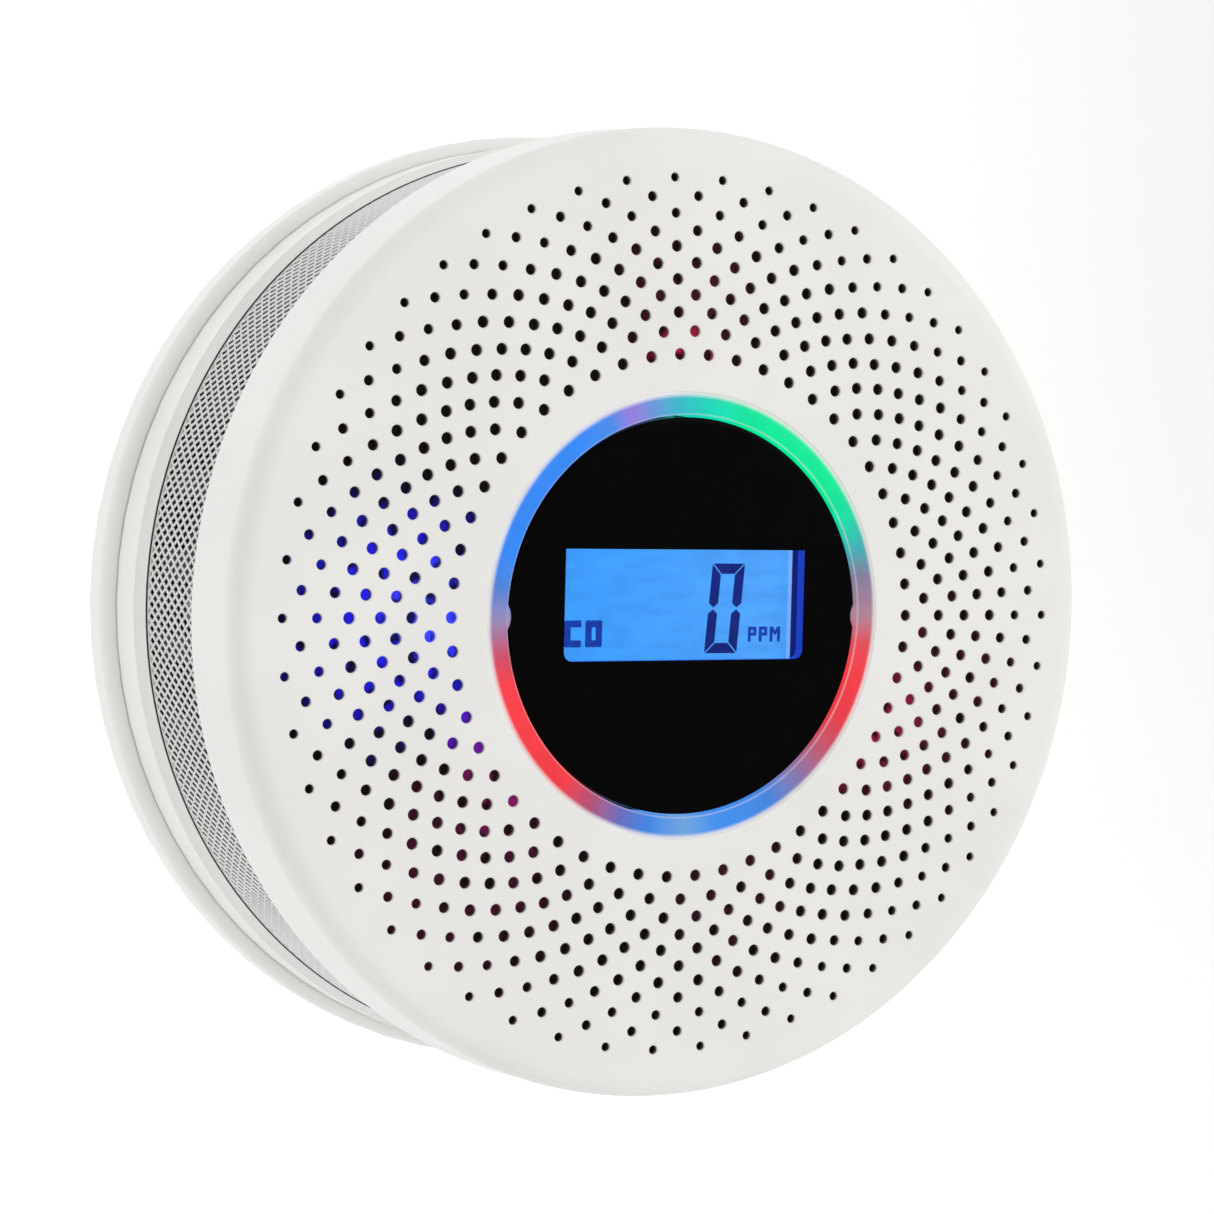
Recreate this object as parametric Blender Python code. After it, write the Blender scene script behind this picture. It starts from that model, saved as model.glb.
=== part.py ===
"""Round wall alarm for carbon monoxide, in metres.

The wall is the plane Y = 0, the face looks along -Y and +Z is up. Every distance called
"out" is measured from the wall towards the viewer, so a point at out = 0.044 has Y = -0.044.
"""
import math

import bmesh
import bpy
from mathutils import Matrix, Vector

# ---- general -------------------------------------------------------------------------------
GAP = 0.0003              # clearance between pieces that touch
SIDES_LARGE = 72          # sides of the big turned pieces
SIDES_SMALL = 16          # sides of screws, posts and pins
OVERLAP = 0.0005          # how far a tool runs past the face it cuts or joins

# ---- mounting plate ------------------------------------------------------------------------
PLATE_STEP_OUT = 0.0017    # the plate stands this far outside the housing
PLATE_RIM_HEIGHT = 0.0050
PLATE_RIM_WALL = 0.0026
PLATE_ROUND = 0.0016
PLATE_FLOOR = 0.0024
LIP_THICKNESS = 0.0018
LIP_WIDTH = 0.0040
LIP_ROOT_WIDTH = 0.0018
LIP_CLEAR_UNDER = 0.0026
KEYHOLE_HEAD_RADIUS = 0.0040
KEYHOLE_SLOT_RADIUS = 0.0022
KEYHOLE_LENGTH = 0.0090
SCREW_HOLE_RADIUS = 0.0022
STOP_ANGLE = math.radians(3.0)

# ---- bayonet -------------------------------------------------------------------------------
HOOK_ANGLES = [math.radians(a) for a in (0, 120, 240)]
HOOK_WIDTH = 0.0120
HOOK_LEG = 0.0024
HOOK_SIDE_CLEARANCE = 0.0006
UNLOCK_ANGLE = math.radians(18.0)

# ---- rear housing --------------------------------------------------------------------------
HOUSING_STEP_IN = 0.0004   # the housing is this much smaller than the cover
HOUSING_HEIGHT = 0.0077
HOUSING_WALL = 0.0018
HOUSING_FLOOR = 0.0020
HOUSING_CHAMFER = 0.0010

# ---- batteries and their bay ---------------------------------------------------------------
CELL_RADIUS = 0.00725
CELL_LENGTH = 0.0495
CELL_NUB_RADIUS = 0.00275
CELL_NUB_LENGTH = 0.0010
CELL_COUNT = 3
CELL_SPACING = 0.0008
BAY_WALL = 0.0015
CONTACT_THICKNESS = 0.0005
SPRING_LENGTH = 0.0034
SPRING_RADIUS = 0.0038
SPRING_WIRE = 0.00035
SPRING_TURNS = 3

# ---- battery door --------------------------------------------------------------------------
DOOR_THICKNESS = 0.0018
DOOR_LEDGE = 0.0016
KNUCKLE_RADIUS = 0.0016
PIN_RADIUS = 0.0010
PIN_LENGTH = 0.0015
PIN_CLEARANCE = 0.00018
THUMB_WIDTH = 0.0140
THUMB_HEIGHT = 0.0045
THUMB_DEPTH = 0.0014
GRIP_LINES = 3
GRIP_FIRST = 0.0030
GRIP_PITCH = 0.0024

# ---- mesh band and the cage behind it ------------------------------------------------------
MESH_STEP_IN = 0.0019      # the mesh is this much smaller than the cover
MESH_THICKNESS = 0.0004
CAGE_WALL = 0.0026
CAGE_COLLAR_WALL = 0.0019
CAGE_COLLAR_REACH = 0.0035
CAGE_BARS = 36
CAGE_BAR_WIDTH = 0.0030
CAGE_END_RING = 0.0022

# ---- front cover ---------------------------------------------------------------------------
COVER_RADIUS = 0.0602
COVER_DRAFT = 0.0005
COVER_HEIGHT = 0.0117
COVER_ROUND = 0.0027
COVER_WALL = 0.0018
COVER_FACE = 0.0022

# ---- cover screws --------------------------------------------------------------------------
BOSS_ANGLES = [math.radians(a) for a in (0, 90, 180, 270)]
BOSS_RADIUS = 0.0042
SCREW_HEAD_RADIUS = 0.0028
SCREW_HEAD_HEIGHT = 0.0018
SCREW_RADIUS = 0.0012
SCREW_LENGTH = 0.0250
SCREW_SINK = 0.0010

# ---- light ring and press-to-test display --------------------------------------------------
LIGHT_RING_WIDTH = 0.0027
LIGHT_RING_DEPTH = 0.0070
LIGHT_RING_FLANGE = 0.0021
LIGHT_RING_FLANGE_THICKNESS = 0.0012
KEY_WIDTH = 0.0023
KEY_REACH = 0.0005
LENS_RECESS = 0.0004
LENS_THICKNESS = 0.0016
LENS_ROUND = 0.0003
BUTTON_TRAVEL = 0.0010
CARRIER_WALL = 0.0015
CARRIER_TAB_THICKNESS = 0.0010
CARRIER_TAB_WIDTH = 0.0064
CARRIER_FOOT_REACH = 0.0019
CARRIER_FOOT_HEIGHT = 0.0009
CARRIER_FOOT_WIDTH = math.radians(6.0)
CARRIER_FOOT_ANGLES = [math.radians(a) for a in (45, 135, 225, 315)]

# ---- display -------------------------------------------------------------------------------
LCD_WIDTH = 0.0390
LCD_HEIGHT = 0.0180
LCD_THICKNESS = 0.0022
LCD_CENTRE_Z = 0.0014
LCD_SIDE_CLEARANCE = 0.0005
BACKLIGHT_INSET = 0.0003
BACKLIGHT_THICKNESS = 0.0037

# ---- circuit boards ------------------------------------------------------------------------
BOARD_THICKNESS = 0.0016
BOARD_BAY_CLEARANCE = 0.0012
BOARD_ROOM = 0.0149         # from the main board to the inside of the cover's face
DISPLAY_BOARD_MARGIN = 0.0013
LED_COUNT = 12
LED_SIZE = 0.0035
LED_HEIGHT = 0.0016
TACT_SIZE = 0.0060
TACT_HEIGHT = 0.0034
TACT_OFFSET = 0.0180
TACT_STEM_RADIUS = 0.0016
SPACER_RADIUS = 0.0025
SPACER_ANGLES = [math.radians(a) for a in (30, 150, 270)]
POST_RADIUS = 0.0030
POST_MARGIN = 0.0039
POST_ANGLES = [math.radians(a) for a in (20, 160, 270)]
BOARD_SCREW_RADIUS = 0.0011
BOARD_SCREW_HEAD_RADIUS = 0.0024
BOARD_SCREW_HEAD_HEIGHT = 0.0015
BOARD_SCREW_LENGTH = 0.0090

# ---- parts on the main board ---------------------------------------------------------------
SENSOR_RADIUS = 0.0078
SENSOR_HEIGHT = 0.0125
SENSOR_ANGLE = math.radians(-45)
SENSOR_CAP_RADIUS = 0.0040
SENSOR_CAP_HEIGHT = 0.0006
SOUNDER_RADIUS = 0.0078
SOUNDER_HEIGHT = 0.0110
SOUNDER_HOLE_RADIUS = 0.0012
SOUNDER_HOLE_DEPTH = 0.0040
SOUNDER_ANGLE = math.radians(225)
PART_CLEARANCE = 0.0006
CHIP_SIZE = 0.0100
CHIP_HEIGHT = 0.0014
CHIP_MARGIN = 0.0030
EDGE_MARGIN = 0.0035
CAPACITOR_RADIUS = 0.0040
CAPACITOR_HEIGHT = 0.0090
CONNECTOR_SIZE = (0.0090, 0.0060, 0.0050)

# ---- places worked out from the sizes above ------------------------------------------------
HOUSING_BACK = PLATE_RIM_HEIGHT + GAP
HOUSING_FRONT = HOUSING_BACK + HOUSING_HEIGHT
HOUSING_INSIDE = HOUSING_BACK + HOUSING_FLOOR

BAY_LENGTH = CELL_LENGTH + CELL_NUB_LENGTH + SPRING_LENGTH + 2 * CONTACT_THICKNESS + 5 * GAP
CELL_PITCH = 2 * CELL_RADIUS + CELL_SPACING
BAY_HEIGHT = CELL_COUNT * CELL_PITCH
DOOR_BACK = HOUSING_BACK
DOOR_FRONT = DOOR_BACK + DOOR_THICKNESS
BAY_BACK = DOOR_FRONT + GAP
BAY_FRONT = BAY_BACK + 2 * CELL_RADIUS + 2 * GAP
BAY_OUTSIDE_FRONT = BAY_FRONT + BAY_WALL
DOOR_HALF_WIDTH = BAY_LENGTH / 2 + DOOR_LEDGE - GAP
DOOR_BOTTOM = -BAY_HEIGHT / 2 - DOOR_LEDGE
HINGE_OUT = DOOR_BACK + KNUCKLE_RADIUS
HINGE_Z = BAY_HEIGHT / 2 + KNUCKLE_RADIUS + 2 * GAP
RECESS_TOP = HINGE_Z + KNUCKLE_RADIUS + GAP
BAY_OUTER_X = DOOR_HALF_WIDTH + GAP + PIN_LENGTH + GAP + BAY_WALL
BAY_OUTER_TOP = RECESS_TOP + BAY_WALL
BAY_OUTER_BOTTOM = -BAY_HEIGHT / 2 - DOOR_LEDGE - GAP - BAY_WALL
DOOR_CORNER_RADIUS = math.hypot(DOOR_HALF_WIDTH, DOOR_BOTTOM)
PLATE_BORE_RADIUS = DOOR_CORNER_RADIUS + HOOK_LEG + 2 * HOOK_SIDE_CLEARANCE

BOARD_BACK = BAY_OUTSIDE_FRONT + BOARD_BAY_CLEARANCE
BOARD_FRONT = BOARD_BACK + BOARD_THICKNESS
FACE_INSIDE = BOARD_FRONT + BOARD_ROOM
FACE = FACE_INSIDE + COVER_FACE
COVER_BACK = FACE - COVER_HEIGHT
MESH_BACK = HOUSING_FRONT + GAP
MESH_FRONT = COVER_BACK - GAP

HOUSING_RADIUS = COVER_RADIUS - HOUSING_STEP_IN
MESH_RADIUS = COVER_RADIUS - MESH_STEP_IN
PLATE_RADIUS = HOUSING_RADIUS + PLATE_STEP_OUT
HOUSING_INNER_RADIUS = HOUSING_RADIUS - HOUSING_CHAMFER - HOUSING_WALL
COVER_INNER_RADIUS = COVER_RADIUS - COVER_WALL
CAGE_RADIUS = MESH_RADIUS - MESH_THICKNESS - GAP
COLLAR_RADIUS = min(HOUSING_INNER_RADIUS, COVER_INNER_RADIUS - COVER_DRAFT) - GAP
COLLAR_INNER = COLLAR_RADIUS - CAGE_COLLAR_WALL
CAGE_INNER = min(CAGE_RADIUS - CAGE_WALL, COLLAR_RADIUS - CAGE_COLLAR_WALL)
BOSS_CIRCLE = CAGE_INNER - GAP - BOSS_RADIUS
BOARD_RADIUS = BOSS_CIRCLE - BOSS_RADIUS - GAP
POST_CIRCLE = BOARD_RADIUS - POST_MARGIN

CARRIER_INNER = (math.hypot(LCD_WIDTH / 2, LCD_HEIGHT / 2 + LCD_CENTRE_Z)
                 + LCD_SIDE_CLEARANCE)
CARRIER_OUTER = CARRIER_INNER + CARRIER_WALL
LENS_RADIUS = CARRIER_OUTER + GAP
LIGHT_RING_INNER = LENS_RADIUS + GAP
LIGHT_RING_OUTER = LIGHT_RING_INNER + LIGHT_RING_WIDTH
LIGHT_RING_BACK = FACE - LIGHT_RING_DEPTH
FLANGE_FRONT = FACE_INSIDE - GAP
FLANGE_BACK = FLANGE_FRONT - LIGHT_RING_FLANGE_THICKNESS
LENS_FRONT = FACE - LENS_RECESS
LENS_BACK = LENS_FRONT - LENS_THICKNESS
CARRIER_FRONT = LENS_BACK - GAP
CARRIER_BACK = LIGHT_RING_BACK - GAP - CARRIER_FOOT_HEIGHT
LCD_FRONT = LENS_BACK - BUTTON_TRAVEL - GAP
LCD_BACK = LCD_FRONT - LCD_THICKNESS
BACKLIGHT_FRONT = LCD_BACK - GAP
BACKLIGHT_BACK = BACKLIGHT_FRONT - BACKLIGHT_THICKNESS
DISPLAY_BOARD_FRONT = BACKLIGHT_BACK - GAP
DISPLAY_BOARD_BACK = DISPLAY_BOARD_FRONT - BOARD_THICKNESS
LED_CIRCLE = CARRIER_OUTER + GAP + LED_SIZE / 2
DISPLAY_BOARD_RADIUS = LED_CIRCLE + LED_SIZE / 2 + DISPLAY_BOARD_MARGIN
SPACER_CIRCLE = DISPLAY_BOARD_RADIUS - SPACER_RADIUS - GAP
TALL_PART_CIRCLE = DISPLAY_BOARD_RADIUS + PART_CLEARANCE + max(SENSOR_RADIUS, SOUNDER_RADIUS)

# ---- materials: base colour, roughness, metallic -------------------------------------------
MATERIALS = {
    "white_plastic": ((0.83, 0.83, 0.81), 0.45, 0.0),
    "mesh_metal": ((0.62, 0.65, 0.69), 0.35, 0.8),
    "grey_plastic": ((0.30, 0.31, 0.33), 0.50, 0.0),
    "black_gloss": ((0.006, 0.006, 0.007), 0.06, 0.0),
    "black_plastic": ((0.02, 0.02, 0.022), 0.45, 0.0),
    "light_guide": ((0.80, 0.88, 0.95), 0.25, 0.0),
    "display_glass": ((0.12, 0.38, 0.85), 0.10, 0.0),
    "backlight_white": ((0.75, 0.85, 0.98), 0.40, 0.0),
    "board_green": ((0.02, 0.16, 0.07), 0.35, 0.0),
    "led_white": ((0.85, 0.85, 0.80), 0.30, 0.0),
    "steel": ((0.58, 0.58, 0.60), 0.28, 1.0),
    "nickel": ((0.66, 0.65, 0.62), 0.25, 1.0),
    "cell_wrap": ((0.10, 0.22, 0.12), 0.35, 0.2),
}


# ---- scene and materials -------------------------------------------------------------------
def clear_scene():
    for old in list(bpy.data.objects):
        bpy.data.objects.remove(old, do_unlink=True)


def make_material(name):
    colour, roughness, metallic = MATERIALS[name]
    material = bpy.data.materials.new(name)
    material.use_nodes = True
    shader = material.node_tree.nodes["Principled BSDF"]
    shader.inputs["Base Color"].default_value = (*colour, 1.0)
    shader.inputs["Roughness"].default_value = roughness
    shader.inputs["Metallic"].default_value = metallic
    return material


def add_pivot(name, out=0.0, z=0.0):
    pivot = bpy.data.objects.new(name, None)
    pivot.empty_display_size = 0.01
    pivot.location = (0.0, -out, z)
    bpy.context.scene.collection.objects.link(pivot)
    return pivot


def add_object(name, shape, material, parent, origin):
    """Make an object whose mesh is drawn in world places, with its origin moved to origin."""
    bmesh.ops.recalc_face_normals(shape, faces=shape.faces)
    bmesh.ops.translate(shape, verts=shape.verts, vec=-origin)
    mesh = bpy.data.meshes.new(name)
    shape.to_mesh(mesh)
    shape.free()
    mesh.shade_smooth()
    mesh.set_sharp_from_angle(angle=math.radians(30))
    piece = bpy.data.objects.new(name, mesh)
    bpy.context.scene.collection.objects.link(piece)
    if material is not None:
        mesh.materials.append(material)
    if parent is not None:
        piece.parent = parent
        piece.location = origin - parent.location
    else:
        piece.location = origin
    return piece


def add_piece(name, shape, material, pivot):
    return add_object(name, shape, make_material(material), pivot, pivot.location.copy())


def add_tool(target, shape, operation):
    """Cut shape out of target, or join it on, with a Boolean modifier."""
    name = target.name + "_" + operation.lower() + "_tool"
    place = target.parent.location + target.location
    tool = add_object(name, shape, None, target.parent, place)
    tool.hide_render = True
    tool.display_type = "WIRE"
    boolean = target.modifiers.new(operation.capitalize(), "BOOLEAN")
    boolean.operation = operation
    boolean.object = tool


def cut(target, shape):
    add_tool(target, shape, "DIFFERENCE")


def join(target, shape):
    add_tool(target, shape, "UNION")


# ---- shapes, all drawn in world places -----------------------------------------------------
def on_circle(radius, angle):
    """X and Z of a point on a circle around the Y axis."""
    return radius * math.cos(angle), radius * math.sin(angle)


def draw_box(shape, x, out, z, angle=0.0):
    """Add a box between pairs of limits, turned about the Y axis by angle."""
    size = Vector((x[1] - x[0], out[1] - out[0], z[1] - z[0]))
    middle = Vector(((x[0] + x[1]) / 2, -(out[0] + out[1]) / 2, (z[0] + z[1]) / 2))
    turn = Matrix.Rotation(-angle, 4, "Y")
    place = turn @ Matrix.Translation(middle) @ Matrix.Diagonal((*size, 1.0))
    bmesh.ops.create_cube(shape, size=1.0, matrix=place)
    return shape


def draw_prism(shape, outline, across, angle=0.0):
    """Add an outline of (radius, out) points, made solid between two limits across it."""
    points = [shape.verts.new((radius, -out, across[0])) for radius, out in outline]
    face = shape.faces.new(points)
    grown = bmesh.ops.extrude_face_region(shape, geom=[face])
    moved = [item for item in grown["geom"] if isinstance(item, bmesh.types.BMVert)]
    bmesh.ops.translate(shape, verts=moved, vec=(0, 0, across[1] - across[0]))
    bmesh.ops.rotate(shape, verts=points + moved, cent=(0, 0, 0),
                     matrix=Matrix.Rotation(-angle, 3, "Y"))
    return shape


def draw_rod(shape, radius, out, x=0.0, z=0.0, sides=SIDES_SMALL):
    """Add a round rod that points out from the wall."""
    middle = Vector((x, -(out[0] + out[1]) / 2, z))
    place = Matrix.Translation(middle) @ Matrix.Rotation(math.radians(90), 4, "X")
    bmesh.ops.create_cone(shape, cap_ends=True, segments=sides, radius1=radius,
                          radius2=radius, depth=out[1] - out[0], matrix=place)
    return shape


def draw_side_rod(shape, radius, x, out, z, sides=SIDES_SMALL):
    """Add a round rod that lies along X."""
    middle = Vector(((x[0] + x[1]) / 2, -out, z))
    place = Matrix.Translation(middle) @ Matrix.Rotation(math.radians(90), 4, "Y")
    bmesh.ops.create_cone(shape, cap_ends=True, segments=sides, radius1=radius,
                          radius2=radius, depth=x[1] - x[0], matrix=place)
    return shape


def draw_turned(shape, outline, sides=SIDES_LARGE, x=0.0, z=0.0):
    """Spin an outline of (radius, out) points about a line along Y.

    An outline that starts and ends on the axis makes a solid disc; any other is closed
    into a loop and makes a ring.
    """
    points = [shape.verts.new((radius + x, -out, z)) for radius, out in outline]
    edges = [shape.edges.new(pair) for pair in zip(points, points[1:])]
    if outline[0][0] > 0:
        edges.append(shape.edges.new((points[-1], points[0])))
    bmesh.ops.spin(shape, geom=points + edges, cent=(x, 0, z), axis=(0, 1, 0),
                   angle=math.tau, steps=sides, use_merge=True)
    bmesh.ops.remove_doubles(shape, verts=shape.verts, dist=1e-7)
    return shape


def arc_points(centre, radius, start, end, steps):
    """Points of a round corner in (radius, out), from one angle in degrees to another."""
    points = []
    for step in range(steps + 1):
        angle = math.radians(start + (end - start) * step / steps)
        points.append((centre[0] + radius * math.cos(angle),
                       centre[1] + radius * math.sin(angle)))
    return points


def draw_coil(shape, radius_start, radius_end, length, wire, turns, place):
    """Sweep a round wire along a flat-ended coil that rises along local Z."""
    steps, wire_sides = 14 * turns, 6
    rings = []
    for step in range(steps + 1):
        share = step / steps
        angle = math.tau * turns * share
        radius = radius_start + (radius_end - radius_start) * share
        height = wire + (length - 2 * wire) * share
        middle = Vector((radius * math.cos(angle), radius * math.sin(angle), height))
        outward = Vector((math.cos(angle), math.sin(angle), 0.0))
        ring = []
        for side in range(wire_sides):
            around = math.tau * side / wire_sides
            offset = outward * math.cos(around) + Vector((0, 0, 1)) * math.sin(around)
            ring.append(shape.verts.new(place @ (middle + offset * wire)))
        rings.append(ring)
    for first, second in zip(rings, rings[1:]):
        for side in range(wire_sides):
            after = (side + 1) % wire_sides
            shape.faces.new((first[side], first[after], second[after], second[side]))
    shape.faces.new(rings[0])
    shape.faces.new(list(reversed(rings[-1])))
    return shape


# ---- mounting plate ------------------------------------------------------------------------
def build_mounting_plate(root):
    """Ring screwed to the wall; its inner lip catches the hooks of the rear housing."""
    rim_inner = PLATE_RADIUS - PLATE_RIM_WALL
    pocket_radius = PLATE_BORE_RADIUS + LIP_WIDTH
    lip_root = pocket_radius + LIP_ROOT_WIDTH
    lip_top = LIP_CLEAR_UNDER + LIP_THICKNESS
    corner = (PLATE_RADIUS - PLATE_ROUND, PLATE_RIM_HEIGHT - PLATE_ROUND)
    outline = [(pocket_radius, 0.0), (PLATE_RADIUS, 0.0)]
    outline += arc_points(corner, PLATE_ROUND, 0, 90, 4)
    outline += [(rim_inner, PLATE_RIM_HEIGHT), (rim_inner, PLATE_FLOOR),
                (lip_root, PLATE_FLOOR), (lip_root, lip_top), (PLATE_BORE_RADIUS, lip_top),
                (PLATE_BORE_RADIUS, LIP_CLEAR_UNDER), (pocket_radius, LIP_CLEAR_UNDER)]
    plate = add_piece("mounting_plate", draw_turned(bmesh.new(), outline),
                      "white_plastic", root)

    stops = bmesh.new()
    notches = bmesh.new()
    hook_half_angle = math.asin(HOOK_WIDTH / 2 / PLATE_BORE_RADIUS)
    gap_angle = HOOK_SIDE_CLEARANCE / PLATE_BORE_RADIUS
    stop_half = PLATE_BORE_RADIUS * STOP_ANGLE / 2
    notch_half = HOOK_WIDTH / 2 + 2 * HOOK_SIDE_CLEARANCE
    for angle in HOOK_ANGLES:
        reach = hook_half_angle + gap_angle + STOP_ANGLE / 2
        for stop_angle in (angle - reach, angle + UNLOCK_ANGLE + reach):
            draw_box(stops, (PLATE_BORE_RADIUS + OVERLAP, pocket_radius + OVERLAP),
                     (0.0, LIP_CLEAR_UNDER + OVERLAP), (-stop_half, stop_half), stop_angle)
        draw_box(notches, (PLATE_BORE_RADIUS - 2 * OVERLAP, pocket_radius - GAP),
                 (LIP_CLEAR_UNDER - OVERLAP, lip_top + OVERLAP),
                 (-notch_half, notch_half), angle + UNLOCK_ANGLE)
    join(plate, stops)
    cut(plate, notches)

    middle = (lip_root + rim_inner) / 2
    through = (-OVERLAP, PLATE_FLOOR + OVERLAP)
    slot_end = KEYHOLE_LENGTH / 2
    heads = bmesh.new()
    slots = bmesh.new()
    slot_tops = bmesh.new()
    for side in (-1, 1):
        draw_rod(heads, KEYHOLE_HEAD_RADIUS, through, side * middle, -slot_end)
        slot_x = (side * middle - KEYHOLE_SLOT_RADIUS, side * middle + KEYHOLE_SLOT_RADIUS)
        draw_box(slots, slot_x, through, (-slot_end, slot_end))
        draw_rod(slot_tops, KEYHOLE_SLOT_RADIUS, through, side * middle, slot_end)
        draw_rod(slot_tops, SCREW_HOLE_RADIUS, through, 0.0, side * middle)
    for shape in (heads, slots, slot_tops):
        cut(plate, shape)


# ---- rear housing --------------------------------------------------------------------------
def build_rear_housing(head):
    """Back shell with the battery bay, the screw bosses and the bayonet hooks."""
    front_radius = HOUSING_RADIUS - HOUSING_CHAMFER
    outline = [(0.0, HOUSING_BACK), (HOUSING_RADIUS, HOUSING_BACK),
               (HOUSING_RADIUS, HOUSING_FRONT - 1.6 * HOUSING_CHAMFER),
               (front_radius, HOUSING_FRONT - 0.6 * HOUSING_CHAMFER),
               (front_radius, HOUSING_FRONT), (HOUSING_INNER_RADIUS, HOUSING_FRONT),
               (HOUSING_INNER_RADIUS, HOUSING_INSIDE), (0.0, HOUSING_INSIDE)]
    housing = add_piece("rear_housing", draw_turned(bmesh.new(), outline),
                        "white_plastic", head)

    sunk = HOUSING_INSIDE - OVERLAP
    bay = bmesh.new()
    draw_box(bay, (-BAY_OUTER_X, BAY_OUTER_X), (sunk, BAY_OUTSIDE_FRONT),
             (BAY_OUTER_BOTTOM, BAY_OUTER_TOP))
    for angle in POST_ANGLES:
        draw_rod(bay, POST_RADIUS, (sunk, BOARD_BACK - GAP), *on_circle(POST_CIRCLE, angle))
    for angle in BOSS_ANGLES:
        draw_rod(bay, BOSS_RADIUS, (sunk, boss_split() - GAP / 2),
                 *on_circle(BOSS_CIRCLE, angle))
    join(housing, bay)

    leg_outer = PLATE_BORE_RADIUS - 2 * HOOK_SIDE_CLEARANCE
    toe_outer = PLATE_BORE_RADIUS + LIP_WIDTH - HOOK_SIDE_CLEARANCE
    toe_front = LIP_CLEAR_UNDER - GAP
    leg_inner = leg_outer - HOOK_LEG
    leg_top = HOUSING_BACK + OVERLAP
    hook = [(leg_inner, GAP), (toe_outer - GAP, GAP), (toe_outer - GAP, toe_front),
            (leg_outer, toe_front), (leg_outer, leg_top), (leg_inner, leg_top)]
    hooks = bmesh.new()
    for angle in HOOK_ANGLES:
        draw_prism(hooks, hook, (-HOOK_WIDTH / 2, HOOK_WIDTH / 2), angle)
    join(housing, hooks)

    recess = bmesh.new()
    recess_half = DOOR_HALF_WIDTH + GAP
    draw_box(recess, (-recess_half, recess_half), (HOUSING_BACK - OVERLAP, BAY_BACK),
             (DOOR_BOTTOM - GAP, RECESS_TOP))
    cut(housing, recess)
    groove = bmesh.new()
    draw_box(groove, (-recess_half, recess_half),
             (HOUSING_BACK, HINGE_OUT + KNUCKLE_RADIUS + GAP),
             (HINGE_Z - KNUCKLE_RADIUS - 3 * GAP, RECESS_TOP))
    cut(housing, groove)
    cavity = bmesh.new()
    draw_box(cavity, (-BAY_LENGTH / 2, BAY_LENGTH / 2), (BAY_BACK - OVERLAP, BAY_FRONT),
             (-BAY_HEIGHT / 2, BAY_HEIGHT / 2))
    cut(housing, cavity)
    pin_holes = bmesh.new()
    hole_half = recess_half + PIN_LENGTH + GAP
    draw_side_rod(pin_holes, PIN_RADIUS + PIN_CLEARANCE, (-hole_half, hole_half),
                  HINGE_OUT, HINGE_Z)
    cut(housing, pin_holes)
    thumb = bmesh.new()
    draw_box(thumb, (-THUMB_WIDTH / 2, THUMB_WIDTH / 2),
             (HOUSING_BACK - OVERLAP, HOUSING_BACK + THUMB_DEPTH),
             (DOOR_BOTTOM - THUMB_HEIGHT, DOOR_BOTTOM))
    cut(housing, thumb)

    counterbores = bmesh.new()
    shafts = bmesh.new()
    head_seat = HOUSING_BACK + SCREW_SINK + SCREW_HEAD_HEIGHT + GAP
    for angle in BOSS_ANGLES:
        x, z = on_circle(BOSS_CIRCLE, angle)
        draw_rod(counterbores, SCREW_HEAD_RADIUS + GAP, (HOUSING_BACK - OVERLAP, head_seat),
                 x, z)
        draw_rod(shafts, SCREW_RADIUS + GAP, (head_seat - OVERLAP, boss_split() + OVERLAP),
                 x, z)
    for angle in POST_ANGLES:
        x, z = on_circle(POST_CIRCLE, angle)
        tip = BOARD_FRONT + GAP - BOARD_SCREW_LENGTH
        draw_rod(shafts, BOARD_SCREW_RADIUS + GAP, (tip - GAP, BOARD_BACK + OVERLAP), x, z)
    cut(housing, counterbores)
    cut(housing, shafts)


def boss_split():
    """Where the bosses of the housing and of the cover meet, halfway up the board."""
    return BOARD_BACK - GAP


def build_battery_door(hinge):
    """Flat door with a rolled knuckle and a pin at each end of it."""
    half = DOOR_HALF_WIDTH
    shape = draw_box(bmesh.new(), (-half, half), (DOOR_BACK, DOOR_FRONT),
                     (DOOR_BOTTOM, HINGE_Z))
    door = add_piece("battery_door", shape, "white_plastic", hinge)
    knuckle = bmesh.new()
    draw_side_rod(knuckle, KNUCKLE_RADIUS, (-half, half), HINGE_OUT, HINGE_Z)
    join(door, knuckle)
    pins = bmesh.new()
    draw_side_rod(pins, PIN_RADIUS, (-half - PIN_LENGTH, half + PIN_LENGTH), HINGE_OUT,
                  HINGE_Z)
    join(door, pins)
    grip = bmesh.new()
    for row in range(GRIP_LINES):
        low = DOOR_BOTTOM + GRIP_FIRST + row * GRIP_PITCH
        draw_box(grip, (-THUMB_WIDTH / 2, THUMB_WIDTH / 2),
                 (DOOR_BACK - OVERLAP, DOOR_BACK + OVERLAP), (low, low + GRIP_PITCH / 2))
    cut(door, grip)


# ---- batteries and contacts ----------------------------------------------------------------
def cell_row_z(row):
    return (row - (CELL_COUNT - 1) / 2) * CELL_PITCH


def cell_points_right(row):
    """Every second cell is turned round, so the cells join end to end."""
    return row % 2 == 0


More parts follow.
